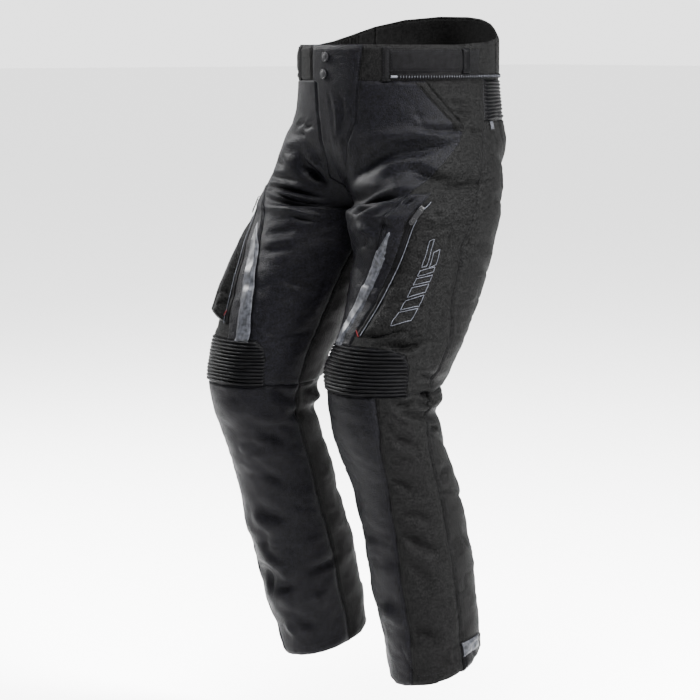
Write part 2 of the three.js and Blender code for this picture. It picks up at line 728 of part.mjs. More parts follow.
function addWaistband(side) {
  const start = side > 0 ? 0.149 : 0.064
  const places = [start, ...bandPlaces[side], ...strapPlaces]
  const grid = bandGrid(side, column => places[column], places.length - 1)
  addPanel(`waistband_${names[side]}`, 'coarseCloth', grid)
  const strapStart = places.indexOf(strapPlaces[0])
  const strapEnd = places.indexOf(strapTip)
  const keeper = places.indexOf(keeperStart)
  const loop = places.indexOf(loopPlaces[side][0])
  const loopLines = cutLines(grid, [loop, loop + 1], through(1, grid.rows), stripMargins)
  addLayer(`belt_loop_${names[side]}`, 'strap', loopLines)
  const strapLines = cutLines(grid, through(strapStart, strapEnd), strapRows, stripMargins)
  addLayer(`waist_strap_${names[side]}`, 'strap', strapLines)
  const keeperLines = cutLines(grid, [keeper, keeper + 1], strapRows, keeperMargins)
  addLayer(`strap_keeper_${names[side]}`, 'stretch', keeperLines, { base: secondBase })
}

function addWaistbandBack() {
  const places = [...backPlaces, ...backPlaces.toReversed().slice(1).map(u => 2 - u)]
  addPanel('waistband_back', 'coarseCloth', bandGrid(-1, column => places[column], places.length - 1))
}

// The lining shows inside the back of the waist; beside the strap elastic it is gathered
function addWaistLining() {
  const gathers = through(0, gatherCount * 2).map(i => mix(gatherFrom, gatherTo, i / (gatherCount * 2)))
  const places = [...gathers, ...backPlaces, ...backPlaces.toReversed().slice(1).map(u => 2 - u)]
  const grid = clothGrid(-1, places.length - 1, liningLevels.length, (column, row) => {
    const u = places[column]
    return [u, row === 0 ? bandEdge(-1, u) - liningDrop : liningLevels[row - 1]]
  })
  const lines = cutLines(grid, through(0, grid.columns), through(0, grid.rows), [0, 0, 0, 0])
  const face = i => -cloth - liningGap - (i < gathers.length && i % 2 === 1 ? gatherDepth : 0)
  addPiece('waist_lining_back', wallGeometry(lines, face, i => face(i) - liningCloth), 'lining')
}

// The zip for joining a jacket runs low on the waistband, round the back from one side to the other
function addJacketZip() {
  const half = [...strapPlaces, ...backPlaces.slice(1)]
  const places = [...half, ...half.toReversed().slice(1).map(u => 2 - u)]
  const levelOf = row => jacketZipTop - row * tapeHalf
  const grid = clothGrid(-1, places.length - 1, 2, (column, row) => [places[column], levelOf(row)])
  const lines = cutLines(grid, through(0, grid.columns), [0, 1, 2], [stripMargin, stripMargin, 0, 0])
  const lift = (i, j) => layerGap + (j === 1 ? teethHeight : tapeHeight)
  addPiece('jacket_zip', wallGeometry(lines, lift, () => layerGap), 'zipTape')
}

function addSeatStretch() {
  const rows = seatRibs * 2
  const grid = clothGrid(-1, seatColumns, rows, (column, row) => {
    const level = mix(bandBottom, stretchBottom, row / rows)
    const edge = seamAt(sideSeam, level)
    return [mix(edge, 2 - edge, column / seatColumns), level]
  })
  addPanel('seat_stretch', 'stretch', grid, ribs(grid))
}

function addFly() {
  const levels = [bandTop, 10, -8, -26, -30, ...thighLevels.slice(1, thighLevels.indexOf(-157) + 1)]
  const shares = [0, 0.2, 0.4, 0.6, 0.8, 1]
  const grid = clothGrid(1, shares.length - 1, levels.length - 1, (column, row) => {
    const level = levels[row]
    return [mix(-seamAt(flyEdge, level), seamAt(flySeam, level), shares[column]), level]
  })
  addPanel('fly', 'smoothCloth', grid)
}

function addSnap(name, u, level) {
  const { radius, rim, height } = snap
  const profile = [[0, 0], [radius, 0], [radius, rim], [radius * 0.8, height], [radius * 0.55, height * 0.8],
    [0, height * 0.8]]
  const geometry = new THREE.LatheGeometry(profile.map(([x, y]) => new THREE.Vector2(x, y)), snapSides)
  geometry.rotateX(Math.PI / 2)
  const spot = clothSpot(1, u, level)
  const foot = spot.point.clone().addScaledVector(spot.normal, snapSeat)
  layOn(addPiece(name, geometry, 'snapMetal'), foot, spot.normal, new THREE.Vector3(0, 0, 1))
}

for (const side of [1, -1]) {
  addPanel(`front_thigh_${names[side]}`, 'smoothCloth', frontThighGrid(side))
  addHandPocketWelt(side, frontThighGrid(side))
  const sideThigh = sideThighGrid(side)
  addPanel(`side_thigh_${names[side]}`, 'coarseCloth', sideThigh)
  addPocketStrip(side, sideThigh)
  addCargoPocket(side, sideThigh)
  addPocketZip(side, sideThigh)
  addSliderAndPull(side, sideThigh)
  addPanel(`back_thigh_${names[side]}`, 'coarseCloth', backThighGrid(side))
  addKneeRib(side)
  addShin(side)
  addWaistband(side)
}
addWaistbandBack()
addWaistLining()
addJacketZip()
addSeatStretch()
addFly()
addSnap('snap_top', 0.012, 10)
addSnap('snap_bottom', 0.004, -17)

export default group
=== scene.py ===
# Looks for the motorcycle trousers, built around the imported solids
import json
import math
import bmesh
import bpy
import numpy as np
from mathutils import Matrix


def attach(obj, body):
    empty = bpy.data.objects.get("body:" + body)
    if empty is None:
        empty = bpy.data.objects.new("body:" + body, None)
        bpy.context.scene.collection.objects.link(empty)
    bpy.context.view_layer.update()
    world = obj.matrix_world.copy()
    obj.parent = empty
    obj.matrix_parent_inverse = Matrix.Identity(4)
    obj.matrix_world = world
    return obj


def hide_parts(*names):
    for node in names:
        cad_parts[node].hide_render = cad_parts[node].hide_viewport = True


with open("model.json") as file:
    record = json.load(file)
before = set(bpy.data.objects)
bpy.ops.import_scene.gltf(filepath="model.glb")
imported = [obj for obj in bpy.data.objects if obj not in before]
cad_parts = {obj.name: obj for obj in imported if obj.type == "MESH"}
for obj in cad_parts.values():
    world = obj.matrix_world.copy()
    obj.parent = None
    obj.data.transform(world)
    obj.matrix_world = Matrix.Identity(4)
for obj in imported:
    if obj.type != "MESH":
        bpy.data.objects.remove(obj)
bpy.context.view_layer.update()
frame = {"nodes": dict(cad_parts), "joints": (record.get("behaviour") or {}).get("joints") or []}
scene = bpy.context.scene
millimetre = 0.001
sideNames = {1: "left", -1: "right"}
bodyName = "trousers"

# Camera at the photograph's angle, level with the middle of the shins and looking slightly down
camera = {"lens": 112.0, "sensor": 36.0, "place": (2.7068, -2.3748, 0.028), "azimuth": 50.0, "pitch": 7.96,
          "photoPixels": 700}


# Places the camera: it looks horizontally at the azimuth and is then tipped down by the pitch
def addCamera(values):
    data = bpy.data.cameras.new("camera")
    data.lens = values["lens"]
    data.sensor_width = values["sensor"]
    data.clip_end = 400
    placed = bpy.data.objects.new("camera", data)
    placed.location = values["place"]
    placed.rotation_euler = (math.radians(90 - values["pitch"]), 0, math.radians(values["azimuth"]))
    scene.collection.objects.link(placed)
    scene.camera = placed


# A colour written as sRGB hex, turned into linear values
def linear(text):
    shares = [int(text[i:i + 2], 16) / 255 for i in (1, 3, 5)]
    return tuple(c / 12.92 if c <= 0.04045 else ((c + 0.055) / 1.055) ** 2.4 for c in shares) + (1.0,)


# Adds a node with its settings and with its inputs, each a value or another node's output
def addNode(tree, kind, inputs=None, **settings):
    node = tree.nodes.new(kind)
    for key, value in settings.items():
        setattr(node, key, value)
    for key, value in (inputs or {}).items():
        if isinstance(value, bpy.types.NodeSocket):
            tree.links.new(value, node.inputs[key])
        else:
            node.inputs[key].default_value = value
    return node


# A new material and its Principled shader
def newMaterial(name, color, roughness, **inputs):
    material = bpy.data.materials.new(name)
    material.use_nodes = True
    material.node_tree.nodes.clear()
    shader = addNode(material.node_tree, "ShaderNodeBsdfPrincipled", {"Base Color": linear(color),
                                                                     "Roughness": roughness})
    for key, value in inputs.items():
        shader.inputs[key.replace("_", " ")].default_value = value
    output = addNode(material.node_tree, "ShaderNodeOutputMaterial")
    material.node_tree.links.new(shader.outputs[0], output.inputs[0])
    return material, shader


# Height of a plain weave: two sines are the threads of each direction, the sign of their product tells which
# one lies over, and that one's own sine gives its round top
def weaveHeight(tree, pitch):
    place = addNode(tree, "ShaderNodeUVMap", uv_map="cloth")
    axes = addNode(tree, "ShaderNodeSeparateXYZ", {0: place.outputs[0]})
    waves, tops = [], []
    for axis in axes.outputs[:2]:
        phase = addNode(tree, "ShaderNodeMath", {0: axis, 1: math.pi / pitch}, operation="MULTIPLY")
        waves.append(addNode(tree, "ShaderNodeMath", {0: phase.outputs[0]}, operation="SINE").outputs[0])
        tops.append(addNode(tree, "ShaderNodeMath", {0: waves[-1]}, operation="ABSOLUTE").outputs[0])
    crossing = addNode(tree, "ShaderNodeMath", {0: waves[0], 1: waves[1]}, operation="MULTIPLY").outputs[0]
    over = addNode(tree, "ShaderNodeMath", {0: crossing, 1: 0.0}, operation="GREATER_THAN").outputs[0]
    return addNode(tree, "ShaderNodeMix", {0: over, 2: tops[1], 3: tops[0]}).outputs[0]


# How the noise of slubs and clouds is turned into shade: their mix, and the part of its range that shows
shadeLook = {"cloudShare": 0.3, "low": 0.4, "high": 0.62}


# Cloth: slub and cloud noise in the cloth's own mm are mixed to shade the yarn, and the weave is a bump
def wovenMaterial(name, values):
    material, shader = newMaterial(name, values["color"], values["roughness"],
                                   Specular_IOR_Level=values["specular"])
    tree = material.node_tree
    place = addNode(tree, "ShaderNodeUVMap", uv_map="cloth").outputs[0]
    stretch = addNode(tree, "ShaderNodeMapping", {"Vector": place, "Scale": (1, values["slubStretch"], 1)})
    slub = addNode(tree, "ShaderNodeTexNoise", {"Vector": stretch.outputs[0], "Scale": 1 / values["slub"],
                                                "Detail": 2.0})
    cloud = addNode(tree, "ShaderNodeTexNoise", {"Vector": place, "Scale": 1 / values["cloud"],
                                                 "Detail": 3.0})
    both = addNode(tree, "ShaderNodeMix", {0: shadeLook["cloudShare"], 2: slub.outputs[0],
                                           3: cloud.outputs[0]})
    shade = addNode(tree, "ShaderNodeMapRange", {"Value": both.outputs[0], "From Min": shadeLook["low"],
                                                 "From Max": shadeLook["high"]})
    color = addNode(tree, "ShaderNodeMix", {0: shade.outputs[0], 6: linear(values["darkColor"]),
                                            7: linear(values["color"])}, data_type="RGBA")
    tree.links.new(color.outputs[2], shader.inputs["Base Color"])
    weave = weaveHeight(tree, values["pitch"])
    height = addNode(tree, "ShaderNodeMix", {0: values["slubShare"], 2: weave, 3: slub.outputs[0]}).outputs[0]
    bump = addNode(tree, "ShaderNodeBump", {"Height": height, "Strength": values["bump"],
                                            "Distance": values["bumpDepth"] * millimetre})
    tree.links.new(bump.outputs[0], shader.inputs["Normal"])
    return material


# slub, cloud and pitch are sizes in mm on the cloth. The real yarns lie about 0.5 mm apart, too fine to show
# at the photograph's distance, so the shell, strap and lining are drawn up to four times coarser
wovenValues = {
    # Near black with a faint cool sheen on the fold tops: the smooth fronts catch the light first
    # Darker than the coarse shell: partly the smooth cloth's own black, partly painted shade on the fronts
    "smooth woven polyester shell": {
        "color": "#08080b", "darkColor": "#010101", "roughness": 0.46, "specular": 0.022, "slub": 2.2,
        "slubStretch": 0.9, "cloud": 8.0, "pitch": 1.9, "bump": 1.0, "bumpDepth": 1.0, "slubShare": 0.85},
    # A duller, neutral and more speckled black: the heavy yarns scatter the light, so the sides read as rough
    "coarse woven polyester shell": {
        "color": "#0b0b0b", "darkColor": "#020202", "roughness": 0.56, "specular": 0.015, "slub": 2.4,
        "slubStretch": 0.8, "cloud": 8.0, "pitch": 2.1, "bump": 1.0, "bumpDepth": 1.2, "slubShare": 0.8},
    # The deepest black of all, even and close knit: the ribs show by their lit crests alone
    "knitted stretch rib": {
        "color": "#030304", "darkColor": "#010101", "roughness": 0.42, "specular": 0.02, "slub": 1.6,
        "slubStretch": 2.0, "cloud": 20.0, "pitch": 0.7, "bump": 0.5, "bumpDepth": 0.2, "slubShare": 0.4},
    # A dry charcoal with no shine: the inside of the waist looks soft and lies back in the shade
    "knitted mesh lining": {
        "color": "#0a0a0a", "darkColor": "#020202", "roughness": 0.85, "specular": 0.01, "slub": 2.4,
        "slubStretch": 1.0, "cloud": 8.0, "pitch": 1.3, "bump": 0.6, "bumpDepth": 0.3, "slubShare": 0.4},
    # Clear cross ribs on a flat black: the straps and loops look thick and firm beside the shell
    "woven webbing": {
        "color": "#0a0a0b", "darkColor": "#020202", "roughness": 0.7, "specular": 0.018, "slub": 2.0,
        "slubStretch": 3.0, "cloud": 8.0, "pitch": 1.9, "bump": 1.0, "bumpDepth": 0.9, "slubShare": 0.6},
    # A flat, tight black that stays behind the coil and the teeth
    "woven zip tape": {
        "color": "#060607", "darkColor": "#020202", "roughness": 0.65, "specular": 0.02, "slub": 1.2,
        "slubStretch": 3.0, "cloud": 14.0, "pitch": 0.8, "bump": 0.5, "bumpDepth": 0.15, "slubShare": 0.4},
    # A grey with broad soft patches: glass beads under film send light back unevenly where the cloth bends
    "laminated reflective film": {
        "color": "#26272b", "darkColor": "#101113", "roughness": 0.42, "specular": 0.08, "slub": 5.0,
        "slubStretch": 0.8, "cloud": 9.0, "pitch": 0.5, "bump": 0.25, "bumpDepth": 0.1, "slubShare": 0.4},
    # A pale grey line, slightly broken: ink printed over yarns
    "printed ink": {
        "color": "#33353b", "darkColor": "#1f2024", "roughness": 0.5, "specular": 0.1, "slub": 3.0,
        "slubStretch": 0.8, "cloud": 12.0, "pitch": 0.5, "bump": 0.25, "bumpDepth": 0.1, "slubShare": 0.4},
    # A touch lighter than the shell, with a soft glint: each stitch stands out from the seam as a small dash
    "twisted sewing thread": {
        "color": "#0c0c0e", "darkColor": "#070708", "roughness": 0.55, "specular": 0.04, "slub": 0.6,
        "slubStretch": 1.0, "cloud": 8.0, "pitch": 0.3, "bump": 0.4, "bumpDepth": 0.05, "slubShare": 0.4},
    # The one spot of colour: a dark red tack at each zip's end
    "twisted red thread": {
        "color": "#4a080b", "darkColor": "#2c0305", "roughness": 0.5, "specular": 0.05, "slub": 0.6,
        "slubStretch": 1.0, "cloud": 8.0, "pitch": 0.3, "bump": 0.4, "bumpDepth": 0.05, "slubShare": 0.4},
}
materials = {name: wovenMaterial(name, values) for name, values in wovenValues.items()}

# Fine scratches of all metal pieces: how far they take the roughness down and up, and their relief in mm
scratchLook = {"smoother": 0.08, "rougher": 0.1, "bump": 0.2, "depth": 0.05}


# Metal: noise finer than a millimetre stands for scratches, which change the roughness and tilt the surface
def metalMaterial(name, values):
    material, shader = newMaterial(name, values["color"], values["roughness"], Metallic=values["metallic"],
                                   Specular_IOR_Level=values["specular"])
    tree = material.node_tree
    place = addNode(tree, "ShaderNodeTexCoord").outputs["Object"]
    scratches = addNode(tree, "ShaderNodeTexNoise", {"Vector": place, "Scale": values["grain"],
                                                     "Detail": 4.0})
    roughness = addNode(tree, "ShaderNodeMapRange", {"Value": scratches.outputs[0],
                                                     "To Min": values["roughness"] - scratchLook["smoother"],
                                                     "To Max": values["roughness"] + scratchLook["rougher"]})
    tree.links.new(roughness.outputs[0], shader.inputs["Roughness"])
    bump = addNode(tree, "ShaderNodeBump", {"Height": scratches.outputs[0], "Strength": scratchLook["bump"],
                                            "Distance": scratchLook["depth"] * millimetre})
    tree.links.new(bump.outputs[0], shader.inputs["Normal"])
    return material


metalValues = {
    # Paint over cast zinc: a black with a soft highlight, a little worn
    "lacquered cast zinc": {"color": "#050506", "roughness": 0.4, "metallic": 0.0, "specular": 0.12,
                            "grain": 900.0},
    # Matt paint over pressed brass: the snaps show as dull discs with a lit rim
    "lacquered pressed brass": {"color": "#060608", "roughness": 0.55, "metallic": 0.0, "specular": 0.1,
                                "grain": 700.0},
    # Bare plating: small grey glints in a row along the band
    "nickel plated brass": {"color": "#3c3d41", "roughness": 0.4, "metallic": 1.0, "specular": 0.5,
                            "grain": 700.0},
}
materials.update({name: metalMaterial(name, values) for name, values in metalValues.items()})
print("materials made")


# A table holds one array for each named column
def table(columns, rows):
    values = np.array(rows, float)
    return {key: values[:, i] for i, key in enumerate(columns.split())}


# The cloth's outer face, in mm, as in the solids: a share u round one side of the body or one leg,
# from the front centre or inseam at 0, and a level
bodySections = table("level halfWidth front back bulgeLeft bulgeRight", [
    (80, 167, 158, 159, 0, 0),
    (28, 169, 160, 161, 0, 0),
    (-27, 170, 160, 161, 0, 0),
    (-75, 178, 158, 160, 1, 2),
    (-130, 193, 152, 163, 6, 26),
    (-180, 201, 142, 161, 10, 40),
    (-235, 204, 130, 156, 12, 46),
])
legSections = {
    1: table("level inner outer middle half", [
        (-125, 0.4, 205, -36, 135),
        (-235, 0.4, 208, -36, 132),
        (-300, 5, 208, -41, 117),
        (-370, 9, 208, -60, 108),
        (-430, 15, 205, -88, 104),
        (-485, 20, 202, -115, 103),
        (-530, 24, 200, -128, 88),
        (-590, 28, 200, -119, 87),
        (-650, 33, 199, -95, 85),
        (-730, 37, 199, -70, 85),
        (-815, 42, 199, -52, 87),
        (-900, 50, 198, -38, 81),
        (-965, 55, 196, -27, 77),
        (-1000, 57, 195, -22, 75),
    ]),
    -1: table("level inner outer middle half", [
        (-125, 0.4, 215, -36, 148),
        (-235, 0.4, 219, -36, 145),
        (-300, 7, 218, -88, 119),
        (-370, 14, 218, -127, 108),
        (-430, 26, 218, -150, 105),
        (-485, 36, 221, -170, 101),
        (-550, 46, 219, -180, 88),
        (-600, 49, 217, -167, 84),
        (-650, 52, 216, -147, 83),
        (-730, 56, 216, -122, 82),
        (-815, 61, 215, -91, 84),
        (-900, 68, 213, -67, 82),
        (-950, 71, 209, -50, 75),
        (-1000, 73, 206, -40, 72),
    ]),
}
form = {"clothAcross": 580, "bandTop": 28, "bandBottom": -27, "stretchBottom": -90, "hipLevel": -125,
        "crotchLevel": -235, "kneeSeam": {1: -513, -1: -520}, "kneeHeight": 70, "hemLevel": -989,
        "tiltStart": -600, "hemTilt": {1: (0.08, 0.2), -1: (0.12, 0.28)},
        "roundness": 2.15}

# The large folds of the solids: a ridge has a positive depth, a trough a negative one, all in mm
foldColumns = "u level angle length width depth"
largeFolds = {
    1: table(foldColumns, [
        (0.16, -142, 12, 90, 13, -8), (0.3, -129, 3, 150, 12, -7), (0.25, -113, 2, 190, 12, 4),
        (0.17, -162, -3, 150, 14, 8), (0.3, -176, -26, 80, 12, 5), (0.35, -165, -20, 110, 10, -6),
        (0.46, -184, -4, 170, 11, -7), (0.2, -187, -7, 170, 13, -6), (0.245, -256, 25, 70, 13, 6),
        (0.18, -300, 40, 90, 14, -5), (0.4, -432, 10, 110, 12, -6), (0.5, -470, 20, 70, 12, 4),
        (0.56, -500, -10, 130, 11, -8), (0.6, -528, 3, 170, 11, 7), (0.6, -550, -3, 190, 11, -7),
        (0.78, -505, 4, 150, 12, -7), (0.8, -530, -4, 160, 12, 6), (0.44, -590, -26, 80, 13, -4),
        (0.4, -655, -28, 80, 14, -4), (0.4, -712, -16, 90, 14, -4), (0.4, -756, -29, 110, 15, -5),
        (0.39, -812, -34, 80, 15, -4), (0.36, -904, -15, 110, 15, -5), (0.22, -772, 30, 90, 16, 4),
        (0.24, -874, 30, 90, 16, 4), (0.7, -150, -12, 130, 15, -5), (0.78, -255, 8, 150, 15, -6),
        (0.75, -620, -20, 120, 15, -4), (0.72, -760, 18, 120, 16, -5), (0.8, -880, -14, 120, 16, -5),
    ]),
    -1: table(foldColumns, [
        (0.17, -138, 4, 90, 13, 6), (0.1, -146, 20, 80, 12, -6), (0.19, -193, -6, 150, 12, 6),
        (0.19, -212, 2, 140, 12, -7), (0.18, -236, 14, 130, 12, 5), (0.14, -118, 10, 100, 12, -4),
        (0.41, -166, -8, 150, 12, -5), (0.42, -130, 4, 150, 13, -5), (0.9, -530, -2, 150, 11, -7),
        (0.9, -548, 4, 150, 11, 8), (0.9, -568, 4, 150, 11, -7), (0.62, -505, -6, 160, 12, -7),
        (0.62, -532, 5, 160, 12, 6), (0.3, -766, 12, 110, 16, 5), (0.21, -818, 20, 120, 16, 5),
        (0.25, -845, 14, 110, 14, -5), (0.23, -882, 16, 120, 15, 5), (0.17, -916, 30, 110, 15, -5),
        (0.42, -640, -24, 90, 14, -4), (0.4, -720, -20, 100, 14, -5), (0.7, -150, -12, 130, 15, -5),
        (0.78, -262, 8, 150, 15, -6), (0.76, -640, -20, 120, 15, -4), (0.72, -780, 18, 120, 16, -5),
    ]),
}

# The finer folds of the hidden sides; bend is how far the middle of a fold lies above its ends
fineColumns = "u level angle length width depth bend"
fineFolds = {
    1: table(fineColumns, [
        (0.66, -150, -14, 90, 5, -4, 3), (0.8, -170, 10, 110, 5, -5, -3), (0.9, -205, -8, 90, 5, -5, 3),
        (0.7, -240, 12, 90, 5, -4, 2), (0.85, -262, -6, 120, 5, -5, 3), (0.62, -330, -20, 80, 5, -4, 0),
        (0.75, -350, 14, 110, 6, -4, 3), (0.88, -390, -10, 90, 5, -4, -2), (0.68, -430, 8, 90, 5, -5, 2),
        (0.8, -468, -6, 120, 5, -6, 3), (0.9, -490, 8, 100, 5, -6, -2), (0.7, -545, -8, 120, 5, -6, 2),
        (0.85, -556, 5, 110, 5, -5, 2), (0.62, -600, -24, 80, 5, -4, 0), (0.78, -640, 18, 100, 5, -4, 2),
        (0.66, -700, -16, 80, 5, -4, 0), (0.86, -740, -20, 90, 5, -4, 2), (0.7, -800, 22, 90, 5, -4, 0),
        (0.85, -850, 14, 90, 6, -4, 0), (0.68, -900, -18, 80, 6, -4, 2), (0.06, -560, 12, 70, 5, -4, 0),
        (0.08, -640, -16, 70, 5, -4, 0), (0.06, -760, 18, 80, 6, -4, 0), (0.1, -860, -14, 80, 6, -4, 0),
        (0.05, -350, -20, 70, 5, -4, 0), (0.07, -430, 16, 70, 5, -4, 0),
    ]),
    -1: table(fineColumns, [
        (0.36, -150, 8, 100, 5, -4, 3), (0.48, -172, -10, 110, 5, -5, -2), (0.42, -128, 6, 90, 5, -4, 2),
        (0.56, -220, 14, 90, 5, -4, 2), (0.68, -160, 12, 100, 5, -5, 3), (0.82, -186, -8, 110, 5, -5, -3),
        (0.72, -250, -10, 100, 5, -4, 3), (0.88, -270, 8, 110, 5, -5, 2), (0.6, -345, 18, 80, 5, -4, 0),
        (0.76, -372, -12, 110, 6, -4, 2), (0.66, -446, -8, 100, 5, -5, 2), (0.8, -484, 6, 120, 5, -6, -3),
        (0.62, -522, -10, 100, 5, -5, 2), (0.74, -552, 8, 120, 5, -6, 2), (0.4, -606, -24, 80, 5, -4, 2),
        (0.42, -668, -16, 90, 5, -5, 2), (0.4, -742, -26, 90, 5, -4, 2), (0.42, -806, -14, 80, 5, -4, 0),
        (0.4, -872, -30, 80, 6, -5, 2), (0.6, -620, 20, 90, 5, -4, 0), (0.74, -668, -18, 100, 5, -4, 2),
        (0.64, -730, 16, 90, 5, -4, 0), (0.82, -790, 20, 90, 6, -4, 2), (0.66, -846, -16, 90, 6, -4, 0),
        (0.8, -912, 14, 90, 6, -4, 0), (0.1, -356, 18, 70, 5, -4, 0), (0.07, -440, -14, 70, 5, -4, 0),
    ]),
}

# The creases of the sides that show, read off the photograph: half width and depth in mm, then the
# pixels that each one runs through. creaseForm makes the soft ones of the lower legs wider and shallower
photoCreases = {
    1: {
        "sharp": [
            (5, -7, "351 183, 362 168, 375 158, 392 155, 402 151, 420 150, 436 148, 450 147"),
            (6, -3.5, "366 152, 385 147, 400 142, 420 141, 440 142, 450 145"),
            (3.6, -5, "401 169, 407 167, 418 171, 430 176, 445 179, 455 180, 460 177"),
            (3.4, -4, "428 181, 437 185, 452 186, 465 186, 478 184, 490 180, 495 175"),
            (5, -8, "356 206, 366 203, 380 199, 395 196, 404 194, 409 191"),
            (7, -4, "352 215, 361 210, 372 205"),
            (6, 3, "357 222, 366 213, 378 207, 390 204"),
            (3.4, -3, "401 206, 408 202, 416 199"),
            (4, 4, "357 221, 362 228, 371 232, 375 240, 373 249"),
            (5, -4, "360 232, 365 240, 361 250"),
            (8, -3, "374 222, 384 226, 394 226"),
            (4, -4.5, "405 128, 420 129, 440 130, 455 130, 465 125, 472 123"),
            (3.4, -2.5, "436 134, 445 135, 453 134"),
            (3.4, -2.5, "442 103, 455 103, 470 105, 475 108"),
            (3.4, -3, "450 112, 462 114, 475 114"),
            (3.4, -2.5, "450 118, 460 120, 470 121"),
            (3.4, -3.5, "468 129, 474 132, 483 133"),
            (4, -3, "433 233, 440 228, 452 224, 466 222, 475 219"),
            (3.4, -2.5, "430 212, 436 216, 446 215"),
            (4.5, -6.5, "385 346, 397 348, 408 348, 420 345, 429 338"),
            (4, -4.5, "366 337, 380 334, 396 331, 410 330"),
            (5, 2.5, "374 343, 398 339, 422 333"),
            (3.4, -5.5, "413 373, 421 373, 430 377, 438 379"),
            (4.5, -9, "423 393, 428 396, 432 394"),
            (3.4, -6, "415 400, 422 404, 430 403, 435 398"),
            (4, -5, "393 405, 402 406, 410 405, 417 398"),
            (4, -4, "400 412, 410 415, 420 416, 431 415"),
            (4, 2.5, "389 405, 392 412, 400 418, 412 422"),
            (3.4, -6, "431 426, 436 427, 439 428"),
            (3.6, -1.6, "327 86, 330 100, 331 114"),
            (3.6, -1.4, "340 92, 343 108, 342 126"),
            (3.6, 1.3, "334 96, 337 120, 337 140"),
            (3.6, -1.7, "329 128, 332 146, 334 166"),
            (3.6, -1.4, "344 134, 346 150, 344 168"),
        ],
        "soft": [
            (4, -4.5, "380 424, 388 428, 396 433"),
            (4, -5.5, "385 437, 395 441, 405 442, 414 445, 422 449"),
            (4, -4.5, "390 458, 402 460, 412 462, 419 464"),
            (4, -6, "387 480, 398 484, 406 489, 416 494"),
            (4.5, -5, "391 513, 402 514, 415 516, 430 520, 441 523"),
            (5, -6, "396 531, 406 537, 414 543, 420 548, 432 551, 445 553"),
            (6, -5.5, "400 563, 412 567, 422 574, 430 580, 434 585"),
            (4.5, -3, "428 608, 440 606, 451 606"),
            (6, -5.5, "410 632, 420 634, 432 636, 441 639"),
            (6, -4, "386 637, 396 634, 407 632"),
            (3.6, -4, "436 658, 444 661, 453 666"),
            (3.4, -3, "444 655, 448 650, 453 648"),
            (3.4, -3, "438 493, 446 490, 453 490"),
            (3.6, -3, "439 479, 444 470, 448 465"),
            (6, -3, "450 534, 457 545, 462 560"),
            (7, 3.5, "363 530, 370 543, 377 554"),
            (6, -3.5, "371 562, 380 557, 387 552"),
            (6, 3.5, "382 604, 389 612, 393 619"),
            (5, -4, "384 630, 391 625, 395 619"),
        ],
    },
    -1: {
        "sharp": [
            (3.4, -3, "284 152, 292 151, 301 154"),
            (5, -8, "298 159, 305 168, 312 173, 322 180, 328 186"),
            (4.5, 3, "301 154, 312 160, 322 169, 329 179"),
            (3.4, -3.5, "275 162, 282 164, 289 160"),
            (3.4, -4, "271 176, 280 178, 292 180, 304 180"),
            (4, -7, "265 187, 280 188, 295 191, 308 194, 322 197, 337 201"),
            (3.4, -5.5, "268 190, 280 195, 292 199, 305 202, 318 204, 328 206"),
            (4.5, -3.5, "285 205, 295 208, 312 210, 322 214, 331 217"),
            (3.6, -4.5, "289 211, 296 217, 305 219, 321 222"),
            (3.4, -3.5, "294 128, 300 124, 307 120"),
            (3.6, -4, "302 129, 308 127, 313 123"),
            (3.4, -3, "300 131, 305 137"),
            (6, -3, "261 237, 270 234, 282 232, 300 231"),
            (6, -3.5, "260 253, 275 249, 300 246"),
        ],
        "soft": [
            (5, -6, "270 387, 282 394, 292 402, 301 405"),
            (4, -6, "284 412, 296 415, 306 415"),
            (4, -6, "299 396, 308 400, 315 397"),
            (6, -6, "252 431, 266 434, 280 438, 291 440"),
            (3.6, -3, "250 426, 270 427, 290 426, 305 429"),
            (5, -3.5, "260 473, 275 478, 286 481"),
            (6, -5.5, "254 509, 268 514, 280 516, 290 514"),
            (7, 4, "250 513, 260 520, 271 527"),
            (5, -4, "270 531, 265 542, 267 553"),
            (3.6, -5, "270 567, 270 578, 273 588, 277 593"),
            (3.6, -5, "276 592, 285 587, 293 585, 299 588"),
            (6, 3, "277 568, 285 574, 292 580"),
            (5, -3.5, "297 590, 294 603, 300 612"),
            (6, 3.5, "310 591, 321 600, 326 613"),
            (3.6, -3.5, "300 573, 316 568, 334 561, 343 548"),
            (5, -3.5, "295 622, 306 624, 318 622"),
            (5, 3.5, "283 623, 292 630, 299 637"),
            (5, -3.5, "262 545, 275 556, 290 562"),
        ],
    },
}


# Straight interpolation of one column by another
def read(rows, key, value, column):
    order = np.argsort(rows[key])
    return np.interp(value, rows[key][order], rows[column][order])


# Smooth interpolation by level: cubic pieces with harmonic mean slopes, which never swing past the rows
def smooth(rows, level, column):
    x = rows["level"][::-1]
    y = rows[column][::-1]
    step = np.diff(x)
    slope = np.diff(y) / step
    product = slope[:-1] * slope[1:]
    total = np.where(product > 0, slope[:-1] + slope[1:], 1)
    inside = np.where(product > 0, 2 * product / total, 0)
    tangent = np.concatenate([slope[:1], inside, slope[-1:]])
    clamped = np.clip(level, x[0], x[-1])
    i = np.clip(np.searchsorted(x, clamped) - 1, 0, len(x) - 2)
    t = (clamped - x[i]) / step[i]
    hold = 2 * t ** 3 - 3 * t ** 2 + 1
    bend = (t ** 3 - 2 * t ** 2 + t) * tangent[i] + (t ** 3 - t ** 2) * tangent[i + 1]
    return hold * y[i] + (1 - hold) * y[i + 1] + step[i] * bend


# A cubic ease from 0 to 1 between two values
def ease(value, low, high):
    t = np.clip((value - low) / (high - low), 0, 1)
    return t * t * (3 - 2 * t)


